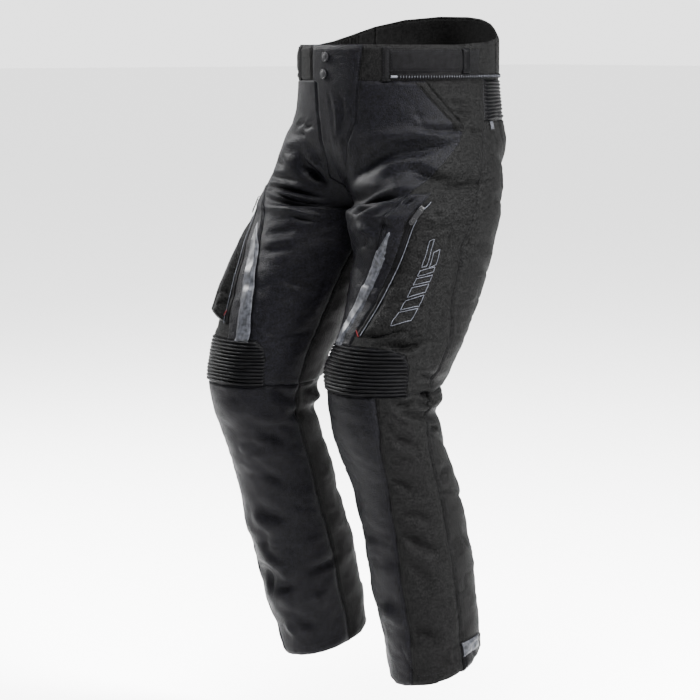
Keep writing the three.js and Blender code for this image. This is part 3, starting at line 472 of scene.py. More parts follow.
# The garment without folds: half ellipses on the body blend into two rounded legs, and the legs tip
# towards the hem
def plainPoints(side, u, level):
    upper = np.maximum(level, form["crotchLevel"])
    turn = np.pi * u
    bulge = smooth(bodySections, upper, "bulgeLeft" if side > 0 else "bulgeRight") * np.sin(2 * turn) ** 2
    front = smooth(bodySections, upper, "front")
    back = smooth(bodySections, upper, "back")
    bodyX = side * smooth(bodySections, upper, "halfWidth") * np.sin(turn)
    bodyY = np.where(u < 0.5, -front * np.cos(turn) - bulge, -back * np.cos(turn))
    lower = np.minimum(level, form["hipLevel"])
    leg = legSections[side]
    inner, outer, middle, half = [smooth(leg, lower, key) for key in ("inner", "outer", "middle", "half")]
    power = 2 / form["roundness"]
    roundCos = np.sign(np.cos(2 * turn)) * np.abs(np.cos(2 * turn)) ** power
    roundSin = np.sign(np.sin(2 * turn)) * np.abs(np.sin(2 * turn)) ** power
    centre = side * (inner + outer) / 2
    legX = centre - side * (outer - inner) / 2 * roundCos
    legY = middle - half * roundSin
    height = form["hipLevel"] - form["crotchLevel"]
    share = np.clip((form["hipLevel"] - level) / height, 0, 1)
    x = bodyX + (legX - bodyX) * share
    y = bodyY + (legY - bodyY) * share
    hips = np.sin(turn) ** 2
    saddle = form["crotchLevel"] + height * ((1 - share) * hips + (1 - share) ** 3 * (1 - hips))
    z = np.where((share > 0) & (share < 1), saddle, level)
    drop = ease(-level, -form["tiltStart"], -form["hemLevel"])
    outwards, backwards = form["hemTilt"][side]
    z = z + drop * (outwards * (x - centre) + backwards * (y - middle))
    return np.stack([x, y, z], -1)


# The sum of soft folds: each is highest in its middle, fades to its ends and is a bell across
def foldSum(folds, u, level):
    total = np.zeros(np.broadcast(u, level).shape)
    bends = folds.get("bend", np.zeros(len(folds["u"])))
    for i in range(len(folds["u"])):
        angle = math.radians(folds["angle"][i])
        around = (u - folds["u"][i]) * form["clothAcross"]
        up = level - folds["level"][i]
        along = (around * math.cos(angle) + up * math.sin(angle)) / (folds["length"][i] / 2)
        rise = bends[i] * (1 - along ** 2)
        across = (up * math.cos(angle) - around * math.sin(angle) - rise) / folds["width"][i]
        inside = np.clip(1 - along ** 2, 0, 1) ** 2
        total += folds["depth"][i] * inside * np.exp(-across ** 2)
    return total


creaseForm = {"shoulder": 0.3, "shoulderPlace": 2.3, "shoulderWidth": 1.3, "depthShare": 1.45, "fade": 0.42,
              "reach": 4.5, "softWidth": 1.7, "softDepth": 0.6}


# A line of places made soft: every corner is cut twice at a quarter of its two sides
def softLine(places):
    line = places * [form["clothAcross"], 1]
    for _ in range(2):
        near = 0.75 * line[:-1] + 0.25 * line[1:]
        far = 0.25 * line[:-1] + 0.75 * line[1:]
        line = np.concatenate([line[:1], np.stack([near, far], 1).reshape(-1, 2), line[-1:]])
    return line


# The creases of one side: a bell across each line with a low shoulder on both sides, fading to its ends
def creaseSum(side, u, level):
    u, level = np.broadcast_arrays(u, level)
    place = np.stack([u.ravel() * form["clothAcross"], level.ravel()], 1)
    total = np.zeros(len(place))
    inseam = [(width, depth, places + [1, 0]) for width, depth, places in creases[side]
              if places[:, 0].min() < 0]
    for width, depth, places in creases[side] + inseam:
        line = softLine(places)
        reach = creaseForm["reach"] * width
        near = np.flatnonzero(((place > line.min(0) - reach) & (place < line.max(0) + reach)).all(axis=1))
        if not len(near):
            continue
        step = np.diff(line, axis=0)
        length = np.linalg.norm(step, axis=1)
        offset = place[near][:, None] - line[None, :-1]
        share = np.clip((offset * step).sum(-1) / length ** 2, 0, 1)
        distance = np.linalg.norm(offset - share[..., None] * step, axis=-1)
        run = (np.concatenate([[0], np.cumsum(length)[:-1]]) + share * length) / length.sum()
        closest = distance.argmin(axis=1)[:, None]
        distance = np.take_along_axis(distance, closest, 1)[:, 0]
        run = np.take_along_axis(run, closest, 1)[:, 0]
        fade = ease(run, 0, creaseForm["fade"]) * ease(1 - run, 0, creaseForm["fade"])
        shoulder = (distance - creaseForm["shoulderPlace"] * width) / (creaseForm["shoulderWidth"] * width)
        bell = np.exp(-(distance / width) ** 2) - creaseForm["shoulder"] * np.exp(-shoulder ** 2)
        total[near] += depth * creaseForm["depthShare"] * fade * bell
    return total.reshape(u.shape)


# Random heights on a lattice, joined by a cubic ease; x and y are in lattice steps
def latticeNoise(x, y, seed):
    count = 97
    heights = np.random.default_rng(seed).uniform(-1, 1, (count, count))
    left, low = np.floor(x).astype(int), np.floor(y).astype(int)
    shareX, shareY = x - left, y - low
    shareX = shareX * shareX * (3 - 2 * shareX)
    shareY = shareY * shareY * (3 - 2 * shareY)
    a = heights[low % count, left % count]
    b = heights[low % count, (left + 1) % count]
    c = heights[(low + 1) % count, left % count]
    d = heights[(low + 1) % count, (left + 1) % count]
    return (a + (b - a) * shareX) * (1 - shareY) + (c + (d - c) * shareX) * shareY


wrinkles = {"seed": 11, "slant": 0.35, "broad": (70, 40, 1.8), "middle": (34, 20, 1.1), "small": (15, 9, 0.6),
            "creaseStep": (46, 30), "creaseDepth": 1.5, "creaseWidth": 0.12, "patch": (90, 80),
            "patchEdge": (-0.2, 0.5), "calm": 0.25, "calmFrom": 40, "calmTo": 110, "seamShare": 0.03}


# Small uneven wrinkles: broad, middling and small noise, and thin creases in patches where noise crosses zero
def wrinkleDepth(side, u, level):
    x = u * form["clothAcross"]
    seed = wrinkles["seed"] * (2 + side)
    slant = x + wrinkles["slant"] * level
    total = 0
    for number, key in enumerate(("broad", "middle", "small")):
        wide, high, depth = wrinkles[key]
        total = total + depth * latticeNoise(slant / wide, level / high, seed + number)
    wide, high = wrinkles["creaseStep"]
    line = latticeNoise(slant / wide, level / high, seed + 5)
    wide, high = wrinkles["patch"]
    patch = ease(latticeNoise(x / wide, level / high, seed + 6), *wrinkles["patchEdge"])
    total = total - wrinkles["creaseDepth"] * patch * np.exp(-(line / wrinkles["creaseWidth"]) ** 2)
    below = ease(-level, wrinkles["calmFrom"], wrinkles["calmTo"])
    calm = wrinkles["calm"] + (1 - wrinkles["calm"]) * below
    return total * calm * ease(np.minimum(u, 1 - u), 0, wrinkles["seamShare"])


# How far all folds and wrinkles move the cloth out, fading towards the centre seams above the thigh
def reliefDepth(side, u, level):
    large = foldSum(largeFolds[side], u, level)
    fine = foldSum(fineFolds[side], u, level) + creaseSum(side, u, level)
    nearCrotch = ease(level, -420, -300)
    nearSeam = ease(np.minimum(u, 1 - u), 0, 0.05)
    return (large + fine) * (1 - nearCrotch * (1 - nearSeam)) + wrinkleDepth(side, u, level)


# The cloth of one side: the plain form moved out by its relief along the plain normal
def sidePoints(side, u, level):
    stepU, stepLevel = 0.004, 2
    across = plainPoints(side, u + stepU, level) - plainPoints(side, u - stepU, level)
    up = plainPoints(side, u, level + stepLevel) - plainPoints(side, u, level - stepLevel)
    normal = np.cross(across, up) * side
    normal /= np.linalg.norm(normal, axis=-1, keepdims=True)
    return plainPoints(side, u, level) + normal * reliefDepth(side, u, level)[..., None]


# The cloth at any u: below 0 and above 1 it carries on round the other side
def clothPoints(side, u, level):
    u, level = np.broadcast_arrays(np.asarray(u, float), np.asarray(level, float))
    crossed = (u < 0) | (u > 1)
    share = np.where(u < 0, -u, np.where(u > 1, 2 - u, u))
    points = sidePoints(side, share, level)
    if crossed.any():
        points = np.where(crossed[..., None], sidePoints(-side, share, level), points)
    return points


# The way out of a grid of points, from its own slopes
def gridNormals(points, side):
    across = np.gradient(points, axis=1)
    down = np.gradient(points, axis=0)
    normal = np.cross(down, across) * side
    return normal / np.maximum(np.linalg.norm(normal, axis=-1, keepdims=True), 1e-9)


photoGrid = {"across": 801, "down": 1100, "top": 75, "bottom": -1000}


# Where pixels of the photograph lie on the plain form: the grid point that faces the camera and whose
# picture is nearest. A point's picture is its offset to the camera's right and up, over its depth, times the
# focal length in pixels. A line that crosses the inseam runs on below a share of 0
def photoPlaces(side, lines):
    u = np.linspace(0, 1, photoGrid["across"])[None, :]
    level = np.linspace(photoGrid["top"], photoGrid["bottom"], photoGrid["down"])[:, None]
    points = plainPoints(side, u, level)
    away = points - np.array(camera["place"]) / millimetre
    facing = (gridNormals(points, side) * away).sum(-1) < 0
    turn, tip = math.radians(camera["azimuth"]), math.radians(camera["pitch"])
    right = np.array([math.cos(turn), math.sin(turn), 0])
    ahead = np.array([-math.sin(turn) * math.cos(tip), math.cos(turn) * math.cos(tip), -math.sin(tip)])
    focal = camera["photoPixels"] * camera["lens"] / camera["sensor"]
    scale = focal / (away @ ahead)[facing]
    x = camera["photoPixels"] / 2 + (away @ right)[facing] * scale
    y = camera["photoPixels"] / 2 - (away @ np.cross(right, ahead))[facing] * scale
    u, level = [grid[facing] for grid in np.broadcast_arrays(u, level)]
    found = []
    for line in lines:
        pixels = np.array(line.replace(",", " ").split(), float).reshape(-1, 2)
        nearest = [np.argmin((x - pixel[0]) ** 2 + (y - pixel[1]) ** 2) for pixel in pixels]
        share = u[nearest]
        if np.ptp(share) > 0.5:
            share = np.where(share > 0.5, share - 1, share)
        found.append(np.stack([share, level[nearest]], 1))
    return found


creases = {}
for side, kinds in photoCreases.items():
    wide, shallow = creaseForm["softWidth"], creaseForm["softDepth"]
    rows = kinds["sharp"] + [(width * wide, depth * shallow, line) for width, depth, line in kinds["soft"]]
    places = photoPlaces(side, [row[2] for row in rows])
    creases[side] = [(row[0], row[1], place) for row, place in zip(rows, places)]
print("creases placed")


# Distances in mm along the rows or columns of a grid from its first point
def runLength(points, axis):
    steps = np.linalg.norm(np.diff(points, axis=axis), axis=-1)
    start = np.zeros_like(np.take(steps, [0], axis=axis))
    return np.cumsum(np.concatenate([start, steps], axis=axis), axis=axis)


# A patch of cloth: u and level of each grid point, its points, its normals and distances to its edges
def makePatch(side, u, level, lift=0.0):
    u, level = np.broadcast_arrays(u, level)
    points = clothPoints(side, u, level)
    normals = gridNormals(points, side)
    points = points + normals * (lift[..., None] if isinstance(lift, np.ndarray) else lift)
    across = runLength(points, 1)
    down = runLength(points, 0)
    return {"side": side, "u": u, "level": level, "points": points, "normals": normals, "across": across,
            "down": down, "width": across[:, -1:], "height": down[-1:, :]}


# Distance in mm to the nearest of a patch's named edges
def edgeDistance(patch, edges=("first", "last", "top", "bottom")):
    choices = {"first": patch["across"], "last": patch["width"] - patch["across"],
               "top": patch["down"], "bottom": patch["height"] - patch["down"]}
    return np.min([choices[edge] for edge in edges], axis=0)


edgeLook = {"roll": 2.1, "rollWidth": 2.3, "groove": 0.8, "grooveWidth": 1.2, "pucker": 0.7,
            "puckerReach": 11.0, "puckerStep": 8.0, "puckerSeed": 31, "tuck": 1.9, "tuckDepth": 0.8}


# Tucks the last line of points of an edge under its neighbour as a seam allowance: it moves outwards, along
# the line from a point further inside, and down
def tuckEdge(patch, edge, inside=5):
    border, within = {"first": (np.s_[:, 0], np.s_[:, inside]), "last": (np.s_[:, -1], np.s_[:, -1 - inside]),
                      "top": (np.s_[0], np.s_[inside]), "bottom": (np.s_[-1], np.s_[-1 - inside])}[edge]
    outwards = patch["points"][border] - patch["points"][within]
    outwards /= np.maximum(np.linalg.norm(outwards, axis=-1, keepdims=True), 1e-9)
    under = patch["normals"][within] * edgeLook["tuckDepth"]
    patch["points"][border] += outwards * edgeLook["tuck"] - under


# Sewn edges: the cloth turns down into the seam, dips under each stitch row and puckers beside it
def sewEdges(patch, rows, edges=("first", "last", "top", "bottom"), pucker=1.0, calm=1.0):
    distance = edgeDistance(patch, edges)
    depth = -edgeLook["roll"] * np.exp(-(distance / edgeLook["rollWidth"]) ** 2)
    for offset in rows:
        depth = depth - edgeLook["groove"] * np.exp(-((distance - offset) / edgeLook["grooveWidth"]) ** 2)
    x = patch["u"] * form["clothAcross"] / edgeLook["puckerStep"]
    y = patch["level"] / edgeLook["puckerStep"]
    ripple = latticeNoise(x, y, edgeLook["puckerSeed"]) * np.exp(-distance / edgeLook["puckerReach"])
    depth = depth + pucker * edgeLook["pucker"] * ripple
    patch["points"] = patch["points"] + patch["normals"] * (depth * calm)[..., None]
    patch["normals"] = gridNormals(patch["points"], patch["side"])
    for edge in edges:
        tuckEdge(patch, edge)
    return patch


# Puts a mesh of points in mm and of faces into the scene, riding on a body
def addMesh(name, points, faces, material, body=bodyName, uv=None, smoothShade=True):
    mesh = bpy.data.meshes.new(name)
    faces = np.asarray(faces, np.int32)
    sides = faces.shape[1]
    mesh.vertices.add(len(points))
    mesh.vertices.foreach_set("co", (np.asarray(points, np.float64) * millimetre).ravel())
    mesh.loops.add(faces.size)
    mesh.loops.foreach_set("vertex_index", faces.ravel())
    mesh.polygons.add(len(faces))
    mesh.polygons.foreach_set("loop_start", np.arange(0, faces.size, sides, dtype=np.int32))
    mesh.polygons.foreach_set("use_smooth", np.full(len(faces), smoothShade))
    if uv is not None:
        layer = mesh.uv_layers.new(name="cloth")
        layer.data.foreach_set("uv", np.asarray(uv, float)[faces.ravel()].ravel())
    mesh.update(calc_edges=True)
    mesh.validate()
    mesh.materials.append(materials[material])
    placed = bpy.data.objects.new(name, mesh)
    scene.collection.objects.link(placed)
    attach(placed, body)
    return placed


# Faces of a closed wall over two grids of the same size: the outer one, the inner one and the rim
def wallFaces(rows, columns):
    index = np.arange(rows * columns).reshape(rows, columns)
    count = rows * columns
    a, b, c, d = index[:-1, :-1], index[1:, :-1], index[1:, 1:], index[:-1, 1:]
    outer = np.stack([a, b, c, d], -1).reshape(-1, 4)
    inner = outer[:, ::-1] + count
    ring = np.concatenate([index[0, :-1], index[:-1, -1], index[-1, :0:-1], index[:0:-1, 0]])
    following = np.roll(ring, -1)
    rim = np.stack([ring, following, following + count, ring + count], -1)
    return np.concatenate([outer, inner, rim])


# A closed cloth wall over a patch: its outer face is lifted and its inner face lies a thickness below
def addCloth(name, patch, material, thickness, replaces=(), lift=0.0):
    outer = patch["points"] + patch["normals"] * lift
    inner = outer - patch["normals"] * thickness
    faces = wallFaces(*outer.shape[:2])
    if patch["side"] < 0:
        faces = faces[:, ::-1]
    points = np.concatenate([outer.reshape(-1, 3), inner.reshape(-1, 3)])
    flat = np.stack([patch["u"] * form["clothAcross"], patch["level"]], -1).reshape(-1, 2)
    placed = addMesh(name, points, faces, material, uv=np.concatenate([flat, flat]))
    if replaces:
        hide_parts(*replaces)
    return placed


# Evenly split positions along cells: each cell of a list gets its own number of steps
def splitCells(counts):
    parts = [i + np.arange(count) / count for i, count in enumerate(counts)]
    return np.concatenate([*parts, [len(counts)]])


# Distances in mm from a sewn edge: the close columns beside it, how far they reach, and the rows at an end
seamColumns = np.array([0.2, 0.8, 1.5, 2.3, 3.2, 4.4])
seamReach = 5.8
seamRows = np.array([0.3, 1.0, 2.0, 3.2, 4.6])


# Positions for a row of cells, closer together beside both sewn edges
def sewnCells(counts, firstWidth, lastWidth):
    inside = splitCells(counts)
    last = len(counts)
    inside = inside[(inside > seamReach / firstWidth) & (inside < last - seamReach / lastWidth)]
    return np.concatenate([seamColumns / firstWidth, inside, last - seamColumns[::-1] / lastWidth])


# Shares or levels in even steps between close ones: first and last are the close values at the two ends
def closeEnded(first, start, end, count, last):
    return np.concatenate([first, np.linspace(start, end, count), last])


# Reads places between the columns of a list
def between(values, position):
    return np.interp(position, np.arange(len(values)), values)


seams = {
    "flySeam": table("level u", [(28, 0.149), (-88, 0.116), (-128, 0.077), (-150, 0.056), (-157, 0.004),
                                 (-174, 0)]),
    "flyEdge": table("level u", [(28, 0.064), (-26, 0.06), (-30, 0.035), (-128, 0.021), (-150, 0.038),
                                 (-157, 0.004), (-174, 0)]),
    "frontSeam": table("level left right", [(-27, 0.34, 0.34), (-59, 0.39, 0.39), (-99, 0.455, 0.455),
                                            (-128, 0.42, 0.42), (-157, 0.385, 0.38), (-192, 0.333, 0.31),
                                            (-262, 0.302, 0.266), (-443, 0.18, 0.18), (-520, 0.18, 0.18)]),
    "zipLine": table("level left right", [(-27, 0.4, 0.4), (-99, 0.485, 0.485), (-128, 0.46, 0.46),
                                          (-192, 0.405, 0.375), (-212, 0.396, 0.355), (-318, 0.329, 0.302),
                                          (-424, 0.268, 0.272), (-443, 0.262, 0.262), (-520, 0.262, 0.262)]),
    "sideSeam": table("level u", [(-27, 0.578), (-90, 0.556), (-108, 0.532), (-192, 0.522), (-236, 0.514),
                                  (-290, 0.49), (-374, 0.488), (-430, 0.53), (-540, 0.53), (-635, 0.504),
                                  (-700, 0.5), (-1010, 0.5)]),
    "shinSeam": table("level u", [(-505, 0.362), (-563, 0.37), (-635, 0.348), (-700, 0.33), (-910, 0.32),
                                  (-1010, 0.29)]),
}
kneeInner = table("rise u", [(0, 0.105), (41, 0.113), (60, 0.13), (70, 0.155)])
kneeOuter = table("rise u", [(0, 0.455), (41, 0.44), (60, 0.415), (70, 0.385)])
kneeArch = {key: np.concatenate([kneeInner[key], kneeOuter[key][::-1]]) for key in ("rise", "u")}
hemRise = table("u rise", [(0, 0), (0.42, 1), (0.5, 5), (0.6, 19), (0.7, 19), (0.85, 6), (1, 0)])
backRise = {
    1: table("u rise", [(0.45, 0), (0.6, 4), (0.7, 10), (0.78, 19), (0.86, 34), (0.93, 42), (1, 46)]),
    -1: table("u rise", [(0.42, 0), (0.5, 6), (0.57, 16), (0.66, 31), (0.76, 42), (0.88, 47), (1, 46)]),
}


# The share u of a seam at a level: the fly's seams keep their corners, any other is averaged over a few mm
def seamAt(name, level, column="u"):
    shifts = [0] if name in ("flyEdge", "flySeam") else [-9, -6, -3, 0, 3, 6, 9]
    return sum(read(seams[name], "level", level + shift, column) for shift in shifts) / len(shifts)


# The lower end of a thigh column: over the knee rib it is the arch, elsewhere the knee seam
def thighEnd(side, u):
    inside = (u > kneeInner["u"][0]) & (u < kneeOuter["u"][0])
    arch = np.interp(u, kneeArch["u"], kneeArch["rise"])
    return form["kneeSeam"][side] + np.where(inside, arch, 0)


# Levels of a thigh patch: even rows down to the last free level, then rows that fit each column's end
def thighLevels(low, first, step, free=-424):
    count = max(int(round((first - free) / step)), 1)
    above = np.linspace(first, free, count + 1)
    below = np.concatenate([np.linspace(0, 1, 23)[1:-1], [0.965, 0.985, 1.0]])
    upper = np.broadcast_to(above[:, None], (len(above), len(low)))
    lower = free + (low[None, :] - free) * below[:, None]
    return np.concatenate([upper, lower])


# A thigh patch: placeOf gives the share u of each column at the levels
def thighPatch(side, columns, placeOf, first, margin=0.3, step=3.6):
    knee = np.full(len(columns), float(form["kneeSeam"][side]))
    low = thighEnd(side, placeOf(columns, knee)) + margin
    top = np.broadcast_to((first - seamRows[:-1])[:, None], (len(seamRows) - 1, len(columns)))
    levels = np.concatenate([top, thighLevels(low, first - seamRows[-1], step)])
    u = placeOf(columns[None, :], levels)
    return makePatch(side, u, levels)


# Straight mixing of two values by a share
def mix(a, b, share):
    return a + (b - a) * share


# Where the columns between the solids' own columns lie, as shares of each panel's width at the knee
frontPlaces = np.array([0, 0.035, 0.07, 0.105, 0.113, 0.13, 0.155, 0.18]) / 0.18
stripPlaces = np.array([0, 0.045, 0.082]) / 0.082
pocketPlaces = (np.array([0.262, 0.3, 0.34, 0.385, 0.415, 0.44, 0.455, 0.53]) - 0.262) / 0.268


# The steps in each cell of a thigh panel, and the widths in mm of its first and last cell
panelCells = {"front": [7, 6, 6, 3, 4, 5, 5], "side": [6, 5, 5, 6, 6, 5, 5, 3, 7], "back": [6] * 11}
panelEnds = {"front": (24, 20), "side": (22, 40), "back": (25, 25)}


# The share u of the front thigh's columns: from the inseam or fly seam to the front seam
def frontPlace(side):
    inner = "flyEdge" if side < 0 else "flySeam"
    return lambda column, level: mix(seamAt(inner, level), seamAt("frontSeam", level, sideNames[side]),
                                     between(frontPlaces, column))


# The share u of the side thigh's columns: the pocket strip up to the zip, then the pocket and the side
def sidePlace(side):
    def place(column, level):
        start = seamAt("frontSeam", level, sideNames[side])
        zipper = seamAt("zipLine", level, sideNames[side])
        end = seamAt("sideSeam", level)
        strip = mix(start, zipper, between(stripPlaces, np.minimum(column, 2)))
        beyond = mix(zipper, end, between(pocketPlaces, np.maximum(column - 2, 0)))
        return np.where(column <= 2, strip, beyond)
    return place


# The share u of the back thigh's columns: from the side seam to the back centre and the inseam
def backPlace(column, level):
    return mix(seamAt("sideSeam", level), 1.0, column / len(panelCells["back"]))


clothThickness = 2.0
seamStitch = 2.6
secondStitch = 8.0
flatSeam = {"pocket": (-104, -196), "crotch": (-126, -264), "reach": 30.0, "ease": 12.0, "least": 0.12}


# The least value beside a stretch of a seam where the cloth lies flat, and 1 elsewhere
def flatBeside(patch, edge, stretch):
    upper, lower = flatSeam[stretch]
    near = 1 - ease(edgeDistance(patch, (edge,)), flatSeam["reach"] / 2, flatSeam["reach"])
    below = ease(-patch["level"], -upper, flatSeam["ease"] - upper)
    above = 1 - ease(-patch["level"], -flatSeam["ease"] - lower, -lower)
    return 1 - (1 - flatSeam["least"]) * near * below * above


# The three thigh panels of one side
def addThigh(side):
    name = sideNames[side]
    columns = sewnCells(panelCells["front"], *panelEnds["front"])
    front = thighPatch(side, columns, frontPlace(side), form["bandBottom"])
    calm = flatBeside(front, "last", "pocket") * flatBeside(front, "first", "crotch")
    sewEdges(front, (seamStitch,), calm=calm)
    addCloth(f"front_thigh_cloth_{name}", front, "smooth woven polyester shell", clothThickness,
             [f"front_thigh_{name}"])
    columns = sewnCells(panelCells["side"], *panelEnds["side"])
    sidePatch = thighPatch(side, columns, sidePlace(side), form["bandBottom"])
    sewEdges(sidePatch, (seamStitch,), calm=flatBeside(sidePatch, "first", "pocket"))
    addCloth(f"side_thigh_cloth_{name}", sidePatch, "coarse woven polyester shell", clothThickness,
             [f"side_thigh_{name}"])
    columns = sewnCells(panelCells["back"], *panelEnds["back"])
    back = thighPatch(side, columns, backPlace, form["stretchBottom"])
    sewEdges(back, (seamStitch, secondStitch), calm=flatBeside(back, "last", "crotch"))
    addCloth(f"back_thigh_cloth_{name}", back, "coarse woven polyester shell", clothThickness,
             [f"back_thigh_{name}"])
    return {"front": front, "side": sidePatch, "back": back}


# A shin patch between two seams; its last rows follow the hem
def shinPatch(side, shares, start, end, step=3.8):
    top = form["kneeSeam"][side]
    free = form["hemLevel"] + 30
    even = top - seamRows[-1] - 1.4
    above = np.concatenate([top - seamRows, np.linspace(even, free, int(round((even - free) / step)))])
    hemU = mix(start(form["hemLevel"]), end(form["hemLevel"]), shares)
    low = form["hemLevel"] + read(hemRise, "u", hemU, "rise")
    below = np.concatenate([np.linspace(0, 1, 10)[1:-1], [0.93, 0.96, 0.985, 1.0]])
    levels = np.concatenate([np.broadcast_to(above[:, None], (len(above), len(shares))),
                             free + (low[None, :] - free) * below[:, None]])
    return makePatch(side, mix(start(levels), end(levels), shares[None, :]), levels)


shinSteps = {"front": (46, 175), "outer": (24, 92), "calf": (66, 265)}


# The three panels of one shin, each between two seams: inseam, shin seam, side seam and inseam again
def addShin(side):
    name = sideNames[side]
    courses = [lambda level: 0 * level, lambda level: seamAt("shinSeam", level),
               lambda level: seamAt("sideSeam", level), lambda level: 1 + 0 * level]
    panels = {}
    for number, (key, (count, width)) in enumerate(shinSteps.items()):
        shares = sewnCells([count], width, width)
        rows = (seamStitch, secondStitch) if key == "calf" else (seamStitch,)
        panels[key] = sewEdges(shinPatch(side, shares, courses[number], courses[number + 1]), rows)
    addCloth(f"shin_cloth_{name}", panels["front"], "smooth woven polyester shell", clothThickness,
             [f"shin_{name}"])
    addCloth(f"shin_side_cloth_{name}", panels["outer"], "coarse woven polyester shell", clothThickness,
             [f"shin_side_{name}"])
    addCloth(f"calf_cloth_{name}", panels["calf"], "coarse woven polyester shell", clothThickness,
             [f"calf_{name}"])
    return panels


# Ribs: their count and height, how far each uneven wave moves them, and how deep the whole panel is let in
ribLook = {"steps": 9, "roundness": 0.8, "under": 0.015, "underTop": 2.5,
           "knee": {"count": 13, "height": 3.6, "wave": 0.6, "waveScale": (14, 26), "seed": 41, "sunk": 0.6},
           "seat": {"count": 11, "height": 2.8, "wave": 0.35, "waveScale": (16, 22), "seed": 43, "sunk": 1.2}}


# Turns a patch into ribs: rounded rolls with narrow valleys, moved by noise, that fade towards the four edges
def ribPatch(patch, down, values, waveOver, sideFade, endFade):
    wide, high = values["waveScale"]
    noise = latticeNoise(patch["u"] * wide, patch["level"] / high, values["seed"])
    phase = (down + values["wave"] * noise / waveOver) * values["count"]
    height = values["height"] * np.abs(np.sin(np.pi * phase)) ** ribLook["roundness"]
    ends = ease(edgeDistance(patch, ("first", "last")), 0.5, sideFade)
    ends = ends * ease(edgeDistance(patch, ("top", "bottom")), *endFade)
    patch["points"] = patch["points"] + patch["normals"] * (height * ends - values["sunk"])[..., None]
    patch["normals"] = gridNormals(patch["points"], patch["side"])
    for edge in ("first", "last", "top", "bottom"):
        tuckEdge(patch, edge, ribLook["steps"])
    return patch


# The ribbed knee panel: its sides follow the curved knee seams, so that its upper corners are round
def addKneeRib(side):
    name = sideNames[side]
    down = np.linspace(0, 1, ribLook["knee"]["count"] * ribLook["steps"] + 1)[:, None]
    shares = mix(-ribLook["under"], 1 + ribLook["under"], sewnCells([52], 200, 200)[None, :])
    rise = (form["kneeHeight"] + ribLook["underTop"]) * (1 - down)
    u = mix(read(kneeInner, "rise", rise, "u"), read(kneeOuter, "rise", rise, "u"), shares)
    patch = makePatch(side, u, form["kneeSeam"][side] + rise + 0 * u)
    patch = ribPatch(patch, down, ribLook["knee"], form["kneeHeight"], 5, (0, 1.5))
    addCloth(f"knee_rib_cloth_{name}", patch, "knitted stretch rib", clothThickness,
             [f"knee_rib_{name}"])


# The ribbed band across the back under the waistband, from one side seam to the other
def addSeatStretch():
    down = np.linspace(0.004, 0.996, ribLook["seat"]["count"] * ribLook["steps"] + 1)[:, None]
    shares = sewnCells([120], 500, 500)[None, :]
    level = mix(form["bandBottom"], form["stretchBottom"], down) + 0 * shares
    edge = seamAt("sideSeam", level)
    patch = makePatch(-1, mix(edge, 2 - edge, shares), level)
    patch = ribPatch(patch, down, ribLook["seat"], ribLook["seat"]["count"], 8, (0.3, 2.5))
    addCloth("seat_stretch_cloth", patch, "knitted stretch rib", clothThickness, ["seat_stretch"])


# The upper edge of the waistband, in one side's u that may run past the back centre
def bandEdge(side, u):
    here = read(backRise[side], "u", u, "rise")
    there = read(backRise[-side], "u", 2 - u, "rise")
    return form["bandTop"] + np.where(u > 1, there, here)


# Where the band's pieces start and end, as shares u, and where its rows lie between its edges
waist = {"start": {1: 0.149, -1: 0.064}, "seam": {1: "flySeam", -1: "flyEdge"}, "backStart": 0.66,
         "rows": closeEnded([0, 0.012, 0.03, 0.06], 0.1, 0.9, 14, [0.94, 0.97, 0.988, 1])}


# A waistband patch: rows from the uneven upper edge to the straight lower one; its start can follow a seam
def bandPatch(side, u, margin=0.3, startSeam=None):
    top = bandEdge(side, u)
    level = mix(top[None, :] - margin, form["bandBottom"] + margin, waist["rows"][:, None])
    u = u[None, :] + 0 * level
    if startSeam:
        share = (u - u[:, :1]) / (u[:, -1:] - u[:, :1])
        u = mix(seamAt(startSeam, level[:, :1]), u[:, -1:], share)
    return makePatch(side, u, level)


# The waistband of both sides, each from its fly seam to the back piece, and the back piece
def addWaistbands():
    patches = {}
    for side in (1, -1):
        name = sideNames[side]
        u = mix(waist["start"][side], waist["backStart"], sewnCells([90], 290, 290))
        patch = bandPatch(side, u, startSeam=waist["seam"][side])
        patches[side] = sewEdges(patch, (seamStitch,), pucker=0.6)
        addCloth(f"waistband_cloth_{name}", patches[side], "coarse woven polyester shell", clothThickness,
                 [f"waistband_{name}"])
    u = mix(waist["backStart"], 2 - waist["backStart"], sewnCells([110], 400, 400))
    back = sewEdges(bandPatch(-1, u), (seamStitch,), pucker=0.6)
    addCloth("waistband_back_cloth", back, "coarse woven polyester shell", clothThickness,
             ["waistband_back"])
    return patches


flyLevels = closeEnded([28 - 0.3, 27, 26, 25], 23, -150, 52, [-153, -155, -156.6])


# The fly panel, from the right side's edge across the centre to the fly seam
def addFly():
    level = flyLevels[:, None]
    shares = sewnCells([30], 130, 130)[None, :]
    u = mix(-seamAt("flyEdge", level), seamAt("flySeam", level), shares)
    patch = sewEdges(makePatch(1, u, level), (seamStitch,), ("first", "last", "top"), pucker=0.8)
    addCloth("fly_cloth", patch, "smooth woven polyester shell", clothThickness, ["fly"])
    return patch


thighs = {side: addThigh(side) for side in (1, -1)}
print("thigh panels made")
shins = {side: addShin(side) for side in (1, -1)}
print("shin panels made")
for side in (1, -1):
    addKneeRib(side)
addSeatStretch()
print("ribs made")
waistbands = addWaistbands()
flyPatch = addFly()
print("waist made")


